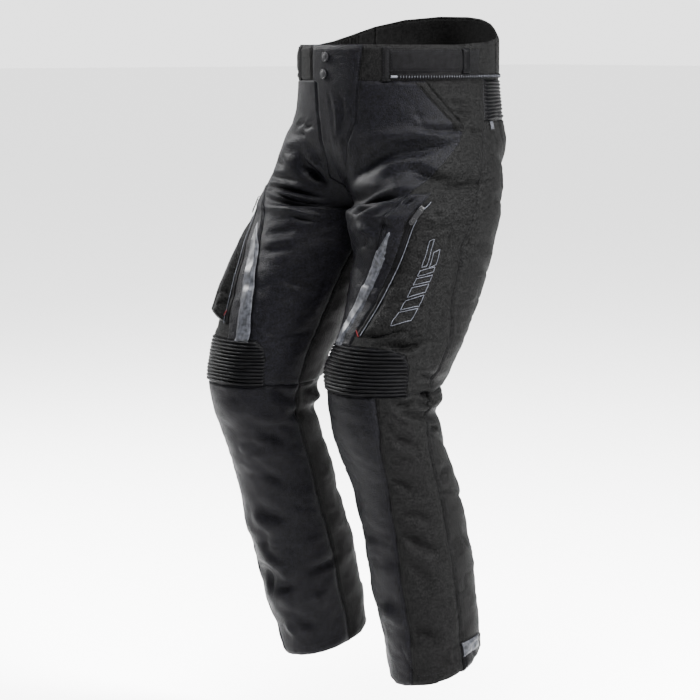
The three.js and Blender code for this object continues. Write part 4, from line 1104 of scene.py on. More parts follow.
# Points and normals along a line that lies an offset in mm from one edge of a patch
def edgeLine(patch, edge, offset):
    points, normals = patch["points"], patch["normals"]
    distance = patch["across"] if edge in ("first", "last") else patch["down"]
    if edge in ("top", "bottom"):
        points, normals, distance = points.transpose(1, 0, 2), normals.transpose(1, 0, 2), distance.T
    if edge in ("last", "bottom"):
        points, normals = points[:, ::-1], normals[:, ::-1]
        distance = (distance[:, -1:] - distance)[:, ::-1]
    index = np.clip((distance < offset).sum(axis=1), 1, distance.shape[1] - 1)
    row = np.arange(len(index))
    before, after = distance[row, index - 1], distance[row, index]
    share = ((offset - before) / (after - before))[:, None]
    line = mix(points[row, index - 1], points[row, index], share)
    out = mix(normals[row, index - 1], normals[row, index], share)
    return line, out / np.linalg.norm(out, axis=1, keepdims=True)


# Points and normals of a patch at given shares u and levels, where each of its rows keeps one level
def onPatch(patch, u, level):
    rows = patch["level"][:, 0]
    row = np.interp(-level, -rows, np.arange(len(rows)))
    low = np.clip(np.floor(row).astype(int), 0, len(rows) - 2)
    down = (row - low)[:, None]
    rowU = mix(patch["u"][low], patch["u"][low + 1], down)
    index = np.clip((rowU < u[:, None]).sum(axis=1), 1, rowU.shape[1] - 1)
    item = np.arange(len(index))
    share = ((u - rowU[item, index - 1]) / (rowU[item, index] - rowU[item, index - 1]))[:, None]
    found = []
    for grid in (patch["points"], patch["normals"]):
        upper = mix(grid[low, index - 1], grid[low, index], share)
        lower = mix(grid[low + 1, index - 1], grid[low + 1, index], share)
        found.append(mix(upper, lower, down))
    return found[0], found[1] / np.linalg.norm(found[1], axis=1, keepdims=True)


# Even positions along a polyline: points and normals at given lengths from its start
def atLengths(points, normals, lengths):
    run = np.concatenate([[0], np.cumsum(np.linalg.norm(np.diff(points, axis=0), axis=1))])
    place = np.stack([np.interp(lengths, run, points[:, i]) for i in range(3)], 1)
    out = np.stack([np.interp(lengths, run, normals[:, i]) for i in range(3)], 1)
    return place, out / np.linalg.norm(out, axis=1, keepdims=True)


thread = {"pitch": 4.6, "length": 3.5, "width": 1.1, "height": 0.6, "sink": 0.15}


# Stitches along a line: each is a small spindle whose ends sink into the cloth
def stitchMesh(points, normals, pitch, length, width):
    total = np.linalg.norm(np.diff(points, axis=0), axis=1).sum()
    starts = np.arange(0, total - length, pitch)
    first, outFirst = atLengths(points, normals, starts)
    last, outLast = atLengths(points, normals, starts + length)
    out = outFirst + outLast
    out /= np.linalg.norm(out, axis=1, keepdims=True)
    middle = (first + last) / 2
    beside = np.cross(last - first, out)
    beside /= np.maximum(np.linalg.norm(beside, axis=1, keepdims=True), 1e-9)
    sink, high = thread["sink"], thread["height"]
    corners = [first - out * sink, last - out * sink, middle + beside * width / 2, middle + out * high,
               middle - beside * width / 2, middle - out * high]
    faces = [(0, 3, 2), (0, 4, 3), (0, 5, 4), (0, 2, 5), (1, 2, 3), (1, 3, 4), (1, 4, 5), (1, 5, 2)]
    vertices = np.stack(corners, 1).reshape(-1, 3)
    index = np.arange(len(starts))[:, None, None] * 6 + np.array(faces)[None]
    return vertices, index.reshape(-1, 3)


# All the stitch lines of a place as one piece
def addStitches(name, lines, material="twisted sewing thread", pitch=thread["pitch"], length=thread["length"],
                width=thread["width"]):
    vertices, faces, count = [], [], 0
    for points, normals in lines:
        corners, sides = stitchMesh(points, normals, pitch, length, width)
        vertices.append(corners)
        faces.append(sides + count)
        count += len(corners)
    vertices = np.concatenate(vertices)
    faces = np.concatenate(faces)
    placed = addMesh(name, vertices, faces, material, uv=vertices[:, [0, 2]])
    return placed


# Faces round rings of points that follow each other: quads between the rings, and fans of triangles to two
# more points, the first ring's middle and the last ring's
def ringFaces(rings, sides):
    i = np.arange(rings - 1)[:, None] * sides
    j = np.arange(sides)[None]
    k = (j + 1) % sides
    quads = np.stack([i + j, i + k, i + sides + k, i + sides + j], -1).reshape(-1, 4)
    j, k = j[0], k[0]
    far, tip = (rings - 1) * sides, 0 * j + rings * sides
    return quads, np.concatenate([np.stack([k, j, tip], -1), np.stack([far + j, far + k, tip + 1], -1)])


# A tube along a line: at each place a ring that stands across the line, with closed ends
def tubeMesh(points, normals, radius, sides=8):
    direction = np.gradient(points, axis=0)
    direction /= np.linalg.norm(direction, axis=1, keepdims=True)
    beside = np.cross(direction, normals)
    beside /= np.linalg.norm(beside, axis=1, keepdims=True)
    out = np.cross(beside, direction)
    turn = np.arange(sides) * 2 * np.pi / sides
    ring = beside[:, None] * np.cos(turn)[None, :, None] + out[:, None] * np.sin(turn)[None, :, None]
    vertices = (points[:, None] + ring * radius).reshape(-1, 3)
    return np.concatenate([vertices, points[:1], points[-1:]]), *ringFaces(len(points), sides)


# Joins closed meshes of quads and triangles into one piece whose faces point outwards
def addSolid(name, parts, material, body=bodyName, replaces=()):
    mesh = bpy.data.meshes.new(name)
    vertices, faces, count = [], [], 0
    for points, quads, caps in parts:
        vertices.append(points)
        faces += (quads + count).tolist() + (caps + count).tolist()
        count += len(points)
    vertices = np.concatenate(vertices)
    mesh.from_pydata((vertices * millimetre).tolist(), [], faces)
    work = bmesh.new()
    work.from_mesh(mesh)
    bmesh.ops.recalc_face_normals(work, faces=work.faces)
    work.to_mesh(mesh)
    work.free()
    mesh.shade_smooth()
    layer = mesh.uv_layers.new(name="cloth")
    loops = np.zeros(len(mesh.loops), np.int32)
    mesh.loops.foreach_get("vertex_index", loops)
    layer.data.foreach_set("uv", vertices[loops][:, [0, 2]].ravel())
    mesh.materials.append(materials[material])
    placed = bpy.data.objects.new(name, mesh)
    scene.collection.objects.link(placed)
    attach(placed, body)
    if replaces:
        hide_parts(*replaces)
    return placed


# Adds tubes along several lines as one piece
def addTubes(name, lines, radius, material, sides=8):
    parts = [tubeMesh(points, normals, radius, sides) for points, normals in lines]
    return addSolid(name, parts, material)


layerShares = closeEnded([0, 0.004, 0.009, 0.015, 0.023], 0.034, 0.966, 46, [0.977, 0.985, 0.991, 0.996, 1])
layerRows = closeEnded([0, 0.003, 0.007, 0.012, 0.02], 0.03, 0.97, 56, [0.98, 0.988, 0.993, 0.997, 1])


# A layer over the side thigh between two columns and two levels
def layerPatch(side, start, end, first, last, lift):
    place = sidePlace(side)
    level = mix(first, last, layerRows)[:, None]
    u = mix(place(start, level), place(end, level), layerShares[None, :])
    patch = makePatch(side, u, level + 0 * u)
    patch["points"] = patch["points"] + patch["normals"] * lift
    return patch


strip = {"lift": 1.9, "thickness": 1.2, "top": -193, "cells": [9, 7], "ends": (20, 16), "start": 0.02,
         "short": 0.25, "margin": 0.6, "stitch": 2.4}


# The pocket strip, from the front seam to just short of the zip
def addPocketStrip(side):
    name = sideNames[side]
    columns = sewnCells(strip["cells"], *strip["ends"])
    columns = strip["start"] + columns * (2 - strip["start"] - strip["short"]) / 2
    patch = thighPatch(side, columns, sidePlace(side), strip["top"], margin=strip["margin"])
    patch["points"] = patch["points"] + patch["normals"] * strip["lift"]
    sewEdges(patch, (strip["stitch"],), pucker=0.6)
    addCloth(f"pocket_strip_cloth_{name}", patch, "smooth woven polyester shell", strip["thickness"],
             [f"pocket_strip_{name}"])
    return patch


# The wedge's outer edge runs at a share between front seam and zip, near to far, and it opens to the seam
wedgeLook = {"lift": 4.3, "thickness": 0.7, "top": -262, "near": 0.34, "far": 0.46, "farBy": -330,
             "openFrom": -254, "openBy": -300, "margin": 1.2, "stitch": 1.6, "lump": 1.6,
             "lumpScale": (40, 17), "seed": 51, "shares": closeEnded(
                 [0.01, 0.03, 0.06, 0.1, 0.15], 0.2, 0.8, 9, [0.85, 0.9, 0.94, 0.97, 0.99])}


# The reflective wedge sewn on the pocket strip, with low lumps of noise away from its long edges
def addWedge(side):
    name = sideNames[side]

    def place(share, level):
        start = seamAt("frontSeam", level, name)
        far = ease(-level, -wedgeLook["top"], -wedgeLook["farBy"])
        edge = mix(start, seamAt("zipLine", level, name), mix(wedgeLook["near"], wedgeLook["far"], far))
        opened = ease(-level, -wedgeLook["openFrom"], -wedgeLook["openBy"])
        return mix(mix(edge, start, opened), edge, share)
    patch = thighPatch(side, wedgeLook["shares"], place, wedgeLook["top"], margin=wedgeLook["margin"])
    wide, high = wedgeLook["lumpScale"]
    lumps = latticeNoise(patch["u"] * wide, patch["level"] / high, wedgeLook["seed"] + side)
    lumps = wedgeLook["lump"] * lumps * ease(edgeDistance(patch, ("first", "last")), 0, 5)
    patch["points"] = patch["points"] + patch["normals"] * (wedgeLook["lift"] + lumps)[..., None]
    sewEdges(patch, (wedgeLook["stitch"],), pucker=1.2, calm=0.7)
    addCloth(f"reflective_wedge_film_{name}", patch, "laminated reflective film", wedgeLook["thickness"],
             [f"reflective_wedge_{name}"])
    return patch


cargo = {"lift": 1.9, "thickness": 1.3, "top": -212.6, "bottom": -423.5, "depth": {1: 5.5, -1: 15},
         "shoulder": 15.0, "columns": (2.209, 7.94), "swellFrom": -182.6, "swellBy": -403.5, "stitch": 2.4}


# The cargo pocket: it swells like bellows from the zip towards its lower end, with flat sewn edges
def addCargoPocket(side):
    name = sideNames[side]
    patch = layerPatch(side, *cargo["columns"], cargo["top"], cargo["bottom"], cargo["lift"])
    away = ease(edgeDistance(patch, ("first", "last", "bottom")), 1.0, cargo["shoulder"])
    grow = ease(-patch["level"], -cargo["swellFrom"], -cargo["swellBy"])
    patch["points"] = patch["points"] + patch["normals"] * (cargo["depth"][side] * away * grow)[..., None]
    patch["normals"] = gridNormals(patch["points"], side)
    sewEdges(patch, (cargo["stitch"],), pucker=0.8)
    addCloth(f"cargo_pocket_cloth_{name}", patch, "coarse woven polyester shell", cargo["thickness"],
             [f"cargo_pocket_{name}"])
    return patch


# A line made even: each place is the mean of its neighbours within a reach, shorter at the two ends
def evened(points, reach=9):
    sums = np.concatenate([np.zeros((1, 3)), np.cumsum(points, axis=0)])
    place = np.arange(len(points))
    near = np.minimum(np.minimum(place, len(points) - 1 - place), reach)
    return (sums[place + near + 1] - sums[place - near]) / (2 * near + 1)[:, None]


# The pocket zip's section: how far each column lies beside the zip's line and above the cloth, in mm, and the
# cloth's width there for one whole share
zipper = {"top": -212, "bottom": -424, "rows": 90, "thickness": 0.8, "clothAcross": 560,
          "beside": [-3.9, -3.3, -2.2, -1.0, -0.5, -0.3, 0, 0.3, 0.5, 1.0, 2.2, 3.3, 3.9],
          "above": [0.9, 1.3, 1.7, 2.3, 2.4, 1.9, 1.2, 1.9, 2.4, 2.3, 1.7, 1.3, 0.9],
          "piping": 0.6, "pipingOffset": 4.6, "pipingLift": 3.0}


# The pocket zip, two tapes whose turned lips meet in a slit, and the line of the pale piping beside it
def addPocketZip(side):
    name = sideNames[side]
    level = np.linspace(zipper["top"], zipper["bottom"], zipper["rows"])
    course = seamAt("zipLine", level, name)
    beside, above = np.array(zipper["beside"]), np.array(zipper["above"])
    u = course[:, None] + beside / zipper["clothAcross"]
    patch = makePatch(side, u, level[:, None] + 0 * u)
    patch["points"] = patch["points"] + patch["normals"] * (above + 0 * u)[..., None]
    patch["normals"] = gridNormals(patch["points"], side)
    addCloth(f"pocket_zip_tape_{name}", patch, "woven zip tape", zipper["thickness"],
             [f"pocket_zip_{name}"])
    out = patch["normals"][:, len(beside) // 2]
    points = clothPoints(side, course + zipper["pipingOffset"] / zipper["clothAcross"], level)
    return evened(points + out * zipper["pipingLift"]), out


# The welt lies in front of the hand pocket's seam, between two distances from it in mm
welt = {"lift": 1.9, "thickness": 1.2, "from": 17.0, "to": 1.2, "clothAcross": 560, "stitch": 1.8,
        "levels": closeEnded([-31, -31.6, -32.4], -34, -101, 30, [-103, -104, -104.6]),
        "shares": closeEnded([0, 0.03, 0.07, 0.12, 0.2], 0.3, 0.7, 5, [0.8, 0.88, 0.93, 0.97, 1])}


# The strip of cloth along the mouth of the hand pocket
def addHandPocket(side):
    name = sideNames[side]
    level = welt["levels"][:, None]
    edge = seamAt("frontSeam", level, name)
    u = edge - mix(welt["from"], welt["to"], welt["shares"]) / welt["clothAcross"]
    patch = makePatch(side, u, level + 0 * u)
    patch["points"] = patch["points"] + patch["normals"] * welt["lift"]
    sewEdges(patch, (welt["stitch"],), pucker=0.5, calm=0.65)
    addCloth(f"hand_pocket_welt_cloth_{name}", patch, "coarse woven polyester shell", welt["thickness"],
             [f"hand_pocket_welt_{name}"])
    return patch


# Trim on the waistband: start and end as shares u, upper and lower level, then columns, rows and lift
band = {"loop": {1: (0.213, 0.234), -1: (0.151, 0.189)}, "loopLevels": (24.5, -26.2),
        "loopGrid": (8, 12, 2.4),
        "strap": (0.236, 0.5445), "strapLevels": (20.4, -12.4), "strapGrid": (56, 10, 1.9),
        "keeper": (0.4725, 0.4955), "keeperLevels": (21.6, -13.6), "keeperGrid": (8, 10, 4.6),
        "thickness": 1.2, "keeperThickness": 1.0, "loopStitch": 1.8, "strapStitch": 2.2,
        "sag": 0.7, "sagLift": 0.4, "sagScale": (20, 40), "seed": 61}


# A strip on the waistband between two shares u and two levels, lifted off it
def bandStrip(side, places, levels, grid):
    count, rows, lift = grid
    start, end = places
    level = mix(*levels, closeEnded([0, 0.01, 0.03, 0.06], 0.1, 0.9, rows, [0.94, 0.97, 0.99, 1]))[:, None]
    length = (end - start) * form["clothAcross"]
    share = sewnCells([count], length, length)[None, :]
    patch = makePatch(side, mix(start, end, share), level + 0 * share)
    patch["points"] = patch["points"] + patch["normals"] * lift
    return patch


# Belt loop, strap and keeper of one side; the strap sags a little by noise
def addBandTrim(side):
    name = sideNames[side]
    loop = bandStrip(side, band["loop"][side], band["loopLevels"], band["loopGrid"])
    sewEdges(loop, (band["loopStitch"],), pucker=0.3, calm=0.6)
    addCloth(f"belt_loop_cloth_{name}", loop, "woven webbing", band["thickness"],
             [f"belt_loop_{name}"])
    webbing = bandStrip(side, band["strap"], band["strapLevels"], band["strapGrid"])
    wide, high = band["sagScale"]
    sag = latticeNoise(webbing["u"] * wide, webbing["level"] / high, band["seed"])
    sag = band["sag"] * sag + band["sagLift"]
    webbing["points"] = webbing["points"] + webbing["normals"] * sag[..., None]
    sewEdges(webbing, (band["strapStitch"],), pucker=0.4, calm=0.65)
    addCloth(f"waist_strap_cloth_{name}", webbing, "woven webbing", band["thickness"],
             [f"waist_strap_{name}"])
    keeper = bandStrip(side, band["keeper"], band["keeperLevels"], band["keeperGrid"])
    sewEdges(keeper, (), pucker=0.2, calm=0.4)
    addCloth(f"strap_keeper_cloth_{name}", keeper, "knitted stretch rib", band["keeperThickness"],
             [f"strap_keeper_{name}"])
    return loop, webbing


# The lining lies inside the band; its gathers stand between two shares u, and fade over a stretch at each end
lining = {"gathers": 15, "gatherDepth": 4.2, "gatherFrom": 0.405, "gatherTo": 0.61, "fadeIn": (0.4, 0.42),
          "fadeOut": (0.58, 0.615), "inside": 2.9, "drop": 2.0, "bottom": -26.0, "thickness": 0.9,
          "uneven": 0.6, "unevenScale": (22, 16), "seed": 71}


# The lining inside the back of the waist, gathered over the elastic on the right in rounded rolls
def addWaistLining():
    u = np.concatenate([np.linspace(0.4, 0.61, 150), np.linspace(0.612, 1.34, 130)])
    top = bandEdge(-1, u) - lining["drop"]
    level = mix(top[None, :], lining["bottom"], np.linspace(0, 1, 26)[:, None])
    patch = makePatch(-1, u[None, :] + 0 * level, level)
    inside = ease(u, *lining["fadeIn"]) * (1 - ease(u, *lining["fadeOut"]))
    share = (u - lining["gatherFrom"]) / (lining["gatherTo"] - lining["gatherFrom"])
    gather = np.abs(np.sin(np.pi * share * lining["gathers"])) ** ribLook["roundness"] * inside
    wide, high = lining["unevenScale"]
    uneven = lining["uneven"] * latticeNoise(patch["u"] * wide, patch["level"] / high, lining["seed"])
    depth = lining["inside"] + lining["gatherDepth"] * gather * (1 + 0.4 * uneven) + 0.5 * np.abs(uneven)
    patch["points"] = patch["points"] - patch["normals"] * depth[..., None]
    patch["normals"] = gridNormals(patch["points"], -1)
    addCloth("waist_lining_cloth", patch, "knitted mesh lining", lining["thickness"],
             ["waist_lining_back"])
    return patch


# The jacket zip's section: how far each row lies below its top and above the cloth, in mm
jacketZip = {"start": 0.2365, "top": -17, "below": [0, 0.6, 1.6, 2.6, 3.5, 4.4, 5.4, 6.4, 7.0],
             "above": [0.8, 1.2, 1.3, 1.5, 1.8, 1.5, 1.3, 1.2, 0.8], "thickness": 0.7, "teethStart": 0.262,
             "teethLevel": -20.5, "teethLift": 1.9, "pitch": 4.4, "length": 1.5, "width": 5.0,
             "box": (0.2385, 0.2585), "boxLift": 1.6, "boxRadius": 2.0}


# The jacket zip along the lower edge of the band: a tape with a low ridge for its teeth
def addJacketZip():
    u = np.linspace(jacketZip["start"], 2 - jacketZip["start"], 560)[None, :]
    level = jacketZip["top"] - np.array(jacketZip["below"])[:, None]
    height = np.array(jacketZip["above"])[:, None] + 0 * u
    patch = makePatch(-1, u + 0 * level, level + 0 * u)
    patch["points"] = patch["points"] + patch["normals"] * height[..., None]
    patch["normals"] = gridNormals(patch["points"], -1)
    addCloth("jacket_zip_tape", patch, "woven zip tape", jacketZip["thickness"], ["jacket_zip"])


# The hem gusset runs down the calf from a share of the shin's height, the tab over it to another share
hem = {"lift": 1.9, "from": 425 / 475, "to": 445 / 475, "margin": 0.6, "stitch": 2.0, "thickness": 1.2,
       "shares": closeEnded([0.004, 0.008, 0.013, 0.02], 0.03, 0.25, 22, [0.256, 0.262, 0.267, 0.271]),
       "rows": closeEnded([0, 0.02, 0.05], 0.08, 0.92, 14, [0.95, 0.98, 1]),
       "tabLift": 3.6, "tabPlaces": (0.006, 0.088), "tabMargin": 1.2, "tabStitch": 1.4, "tabThickness": 0.7,
       "tabShares": closeEnded([0, 0.02, 0.05], 0.1, 0.9, 16, [0.95, 0.98, 1]),
       "tabRows": closeEnded([0, 0.03, 0.08], 0.14, 0.86, 9, [0.92, 0.97, 1])}


# The stretch gusset at the hem of the calf and the reflective tab above it
def addHemTrim(side):
    name = sideNames[side]
    knee = form["kneeSeam"][side]
    top, bottom = [knee - hem[key] * (knee - form["hemLevel"]) for key in ("from", "to")]
    start = seamAt("sideSeam", np.array([top]))[0]
    u = mix(start, 1.0, hem["shares"])
    low = form["hemLevel"] + read(hemRise, "u", u, "rise") + hem["margin"]
    level = mix(top - hem["margin"], low[None, :], hem["rows"][:, None])
    patch = makePatch(side, u[None, :] + 0 * level, level)
    patch["points"] = patch["points"] + patch["normals"] * hem["lift"]
    sewEdges(patch, (hem["stitch"],), pucker=0.8)
    addCloth(f"hem_gusset_cloth_{name}", patch, "knitted stretch rib", hem["thickness"],
             [f"hem_gusset_{name}"])
    first, last = hem["tabPlaces"]
    u = mix(start + first, start + last, hem["tabShares"])[None, :]
    level = mix(top - hem["tabMargin"], bottom, hem["tabRows"])[:, None]
    tab = makePatch(side, u + 0 * level, level + 0 * u)
    tab["points"] = tab["points"] + tab["normals"] * hem["tabLift"]
    sewEdges(tab, (hem["tabStitch"],), pucker=0.6, calm=0.6)
    addCloth(f"hem_tab_film_{name}", tab, "laminated reflective film", hem["tabThickness"],
             [f"hem_tab_{name}"])
    return patch, tab


strips = {side: (addPocketStrip(side), addWedge(side)) for side in (1, -1)}
cargoPatches = {side: addCargoPocket(side) for side in (1, -1)}
pipings = {side: addPocketZip(side) for side in (1, -1)}
weltPatches = {side: addHandPocket(side) for side in (1, -1)}
bandTrim = {side: addBandTrim(side) for side in (1, -1)}
liningPatch = addWaistLining()
addJacketZip()
hemTrim = {side: addHemTrim(side) for side in (1, -1)}
for side in (1, -1):
    addTubes(f"zip_piping_{sideNames[side]}", [pipings[side]], zipper["piping"], "printed ink")
print("pockets, trim and lining made")

hemStitch = 16.0
liningStitch = {"places": (0.62, 0.8, 1.0, 1.2, 1.3), "top": 20, "bottom": -22, "count": 24}


# Stitch rows of one side: for each patch, the edges that a row runs along and the row's distance from them
def addStitching(side):
    thigh, shin = thighs[side], shins[side]
    stripPatch, wedgePatch = strips[side]
    loop, webbing = bandTrim[side]
    gusset, tab = hemTrim[side]
    panelRows = [(thigh["front"], "last first", seamStitch), (thigh["side"], "last", seamStitch),
                 (thigh["back"], "first last", seamStitch), (thigh["back"], "first last", secondStitch),
                 (thigh["side"], "bottom", seamStitch), (thigh["back"], "bottom", seamStitch),
                 (shin["front"], "last top", seamStitch), (shin["outer"], "top first last", seamStitch),
                 (shin["calf"], "first last top", seamStitch), (shin["calf"], "first", secondStitch)]
    panelRows += [(shin[key], "bottom", hemStitch) for key in ("front", "outer", "calf")]
    trimRows = [(stripPatch, "first last", strip["stitch"]), (wedgePatch, "last", wedgeLook["stitch"]),
                (cargoPatches[side], "last first bottom", cargo["stitch"]),
                (weltPatches[side], "first last bottom", welt["stitch"]),
                (loop, "first last", band["loopStitch"]),
                (webbing, "top bottom first last", band["strapStitch"]),
                (waistbands[side], "top bottom", seamStitch), (gusset, "first last", hem["stitch"]),
                (tab, "top bottom first last", hem["tabStitch"])]
    for name, rows in (("panel", panelRows), ("trim", trimRows)):
        lines = [edgeLine(patch, edge, offset) for patch, edges, offset in rows for edge in edges.split()]
        addStitches(f"{name}_stitching_{sideNames[side]}", lines)


for side in (1, -1):
    addStitching(side)
down = np.linspace(liningStitch["top"], liningStitch["bottom"], liningStitch["count"])
addStitches("lining_stitching", [onPatch(liningPatch, np.array([place]) + 0 * down, down)
                                 for place in liningStitch["places"]])
addStitches("fly_stitching", [edgeLine(flyPatch, edge, seamStitch) for edge in ("first", "last", "top")])
print("stitching made")


# A tapering solid along a line: at each place a rounded rectangle of its own width and height
def loftMesh(points, across, out, wide, high, power=4.0, sides=20):
    turn = (np.arange(sides) + 0.5) * 2 * np.pi / sides
    cos, sin = np.cos(turn), np.sin(turn)
    x = np.sign(cos) * np.abs(cos) ** (2 / power)
    y = np.sign(sin) * np.abs(sin) ** (2 / power)
    ring = points[:, None] + across * (wide[:, None, None] / 2 * x[None, :, None])
    ring = ring + out * (high[:, None, None] / 2 * y[None, :, None])
    return np.concatenate([ring.reshape(-1, 3), points[:1], points[-1:]]), *ringFaces(len(points), sides)


# Slider and pull in mm: width and height at each run down from the hinge, then the bridge and the eyelet
slider = {"seat": (2.0, 4.2), "run": (-4.5, -3.6, -1, 3, 6.5, 8.2, 8.8),
          "wide": (4.6, 6.4, 8.6, 9.2, 9.0, 7.6, 5.0), "high": (1.6, 3.0, 3.9, 4.1, 3.9, 3.2, 1.6),
          "bridgeFoot": 1.6, "bridgeMiddle": 1.5, "bridgeHalf": 4.2, "bridgeRise": 2.9, "bridgeRadius": 0.75}
pull = {"run": (0.0, 0.5, 2.0, 3.5, 4.4, 5.4, 7, 16, 24, 27, 28.6, 29.5),
        "wide": (2.6, 4.0, 4.8, 4.8, 6.4, 7.8, 8.0, 8.0, 8.0, 7.2, 5.2, 2.0),
        "high": (0.8, 1.4, 1.6, 1.6, 1.6, 1.6, 1.6, 1.3, 1.6, 1.6, 1.3, 0.6), "power": 6.0,
        "eyelet": 21.5, "eyeletHalf": (3.4, 2.3), "eyeletLift": 0.75, "eyeletRadius": 0.45}


# Where a pull hangs, from the frame: its hinge, the hinge's axis, and the way out of its flat face, which is
# the way in which its corners spread least
def pullPlace(name):
    joint = [joint for joint in frame["joints"] if joint["child"] == f"pull_{name}"][0]
    mesh = frame["nodes"][f"zip_pull_{name}"].data
    corners = np.zeros(len(mesh.vertices) * 3)
    mesh.vertices.foreach_get("co", corners)
    corners = np.unique(corners.reshape(-1, 3).round(5), axis=0)
    out = np.linalg.svd(corners - corners.mean(axis=0))[2][-1]
    hinge = np.array(joint["pos_m"]) / millimetre
    return hinge, -np.array(joint["axis"]), out * np.sign(out @ hinge)


# The slider with its bridge, a half ring over the hinge, and the pull with its eyelet, which turns there
def addZipPull(side):
    name = sideNames[side]
    hinge, across, out = pullPlace(name)
    down = np.cross(across, out)
    down = down if down[2] < 0 else -down
    back, under = slider["seat"]
    middle = hinge - down * back - out * under
    run, wide, high = [np.array(slider[key]) for key in ("run", "wide", "high")]
    body = loftMesh(middle + down * run[:, None], across, out, wide, high)
    arc = np.linspace(0, np.pi, 11)[:, None]
    bridge = middle + out * (slider["bridgeFoot"] + slider["bridgeRise"] * np.sin(arc))
    bridge = bridge + down * (slider["bridgeMiddle"] - slider["bridgeHalf"] * np.cos(arc))
    tube = tubeMesh(bridge, np.broadcast_to(across, bridge.shape), slider["bridgeRadius"])
    addSolid(f"zip_slider_body_{name}", [body, tube], "lacquered cast zinc",
             replaces=[f"zip_slider_{name}"])
    run, wide, high = [np.array(pull[key]) for key in ("run", "wide", "high")]
    plate = loftMesh(hinge + down * run[:, None], across, out, wide, high, power=pull["power"])
    turn = np.linspace(0, 2 * np.pi, 25)[:, None]
    long, broad = pull["eyeletHalf"]
    eyelet = hinge + down * (pull["eyelet"] + long * np.cos(turn)) + across * (broad * np.sin(turn))
    eyelet = eyelet + out * pull["eyeletLift"]
    rim = tubeMesh(eyelet, np.broadcast_to(out, eyelet.shape), pull["eyeletRadius"], 6)
    addSolid(f"zip_pull_plate_{name}", [plate, rim], "lacquered cast zinc", body=f"pull_{name}",
             replaces=[f"zip_pull_{name}"])


# Snaps: place as share u and level, then radius and height along the section
snap = {"places": {"snap_top": (0.012, 10), "snap_bottom": (0.004, -17)}, "sides": 32, "lift": 0.9,
        "step": 0.012, "section": [(0, 2.7), (2, 2.65), (4, 2.4), (5.2, 2.0), (5.7, 1.7), (6.1, 1.9),
                                   (6.6, 2.3), (7.2, 2.2), (7.7, 1.6), (7.8, 0.8), (7.8, -0.6), (6.0, -0.6)]}


# A snap: its section, a low dome in a raised rim, turned about the cloth's normal
def addSnap(name, place):
    centre, near = clothPoints(1, np.array([place[0], place[0] + snap["step"]]), np.full(2, place[1]))
    beside = (near - centre) / np.linalg.norm(near - centre)
    up = np.array([0, 0, 1.0])
    out = np.cross(beside, up)
    out /= np.linalg.norm(out)
    radius, height = np.array(snap["section"]).T[..., None, None]
    turn = np.arange(snap["sides"])[:, None] * 2 * np.pi / snap["sides"]
    points = centre + (beside * np.cos(turn) + up * np.sin(turn)) * radius + out * (height + snap["lift"])
    vertices = np.concatenate([points[1:].reshape(-1, 3), points[0, :1], points[-1:, 0]])
    vertices[-1] = centre + out * (height[-1, 0, 0] + snap["lift"])
    part = (vertices, *ringFaces(len(points) - 1, snap["sides"]))
    addSolid(f"{name}_cap", [part], "lacquered pressed brass", replaces=[name])


for side in (1, -1):
    addZipPull(side)
for name, place in snap["places"].items():
    addSnap(name, place)
print("zip pulls and snaps made")

# A line of points and normals on one side's cloth, lifted off it, from the middle of three rows around it
def clothLine(side, u, level, lift, spread):
    rows = level + np.array([[spread], [0], [-spread]])
    line = makePatch(side, u[None, :], rows + 0 * u[None, :])
    return line["points"][1] + line["normals"][1] * lift, line["normals"][1]


# The teeth of the jacket zip, drawn as short bars across its tape, and the pin box at its left end
teethPlaces = np.linspace(jacketZip["teethStart"], 2 - jacketZip["teethStart"], 900)
teeth = clothLine(-1, teethPlaces, jacketZip["teethLevel"], jacketZip["teethLift"], 0.9)
addStitches("jacket_zip_teeth", [teeth], "nickel plated brass", jacketZip["pitch"], jacketZip["length"],
            jacketZip["width"])
pinBox = clothLine(1, np.linspace(*jacketZip["box"], 7), jacketZip["teethLevel"], jacketZip["boxLift"], 1.1)
addTubes("jacket_zip_box", [pinBox], jacketZip["boxRadius"], "nickel plated brass")

# The red tacks at the pocket zips' lower ends, from one place (share u, level) to another
tack = {"places": {1: ((0.262, -417), (0.2745, -426)), -1: ((0.276, -404), (0.284, -412))}, "lift": 4.4,
        "radius": 0.65}
for side, (first, last) in tack["places"].items():
    share = np.linspace(0, 1, 9)
    line = clothLine(side, mix(first[0], last[0], share), mix(first[1], last[1], share), tack["lift"], 1.0)
    addTubes(f"red_bartack_{sideNames[side]}", [line], tack["radius"], "twisted red thread")

# A made-up row of slanted bars, outlined on the left cargo pocket: the bars and two stripes in shares across
# and along the four corners, which are places (share u, level)
graphic = {"corners": ((0.351, -405), (0.394, -404), (0.444, -270), (0.414, -269)), "line": 0.55,
           "bars": ((0.0, 0.14), (0.17, 0.29), (0.32, 0.42), (0.45, 0.53), (0.56, 0.62)),
           "slant": 0.05, "inset": (0.05, 0.95),
           "stripes": ([(0.05, 0.66), (0.35, 0.68), (0.35, 0.99), (0.05, 0.97)],
                       [(0.55, 0.66), (0.95, 0.7), (0.95, 0.87), (0.55, 0.83)]),
           "steps": 12, "lift": 0.35}


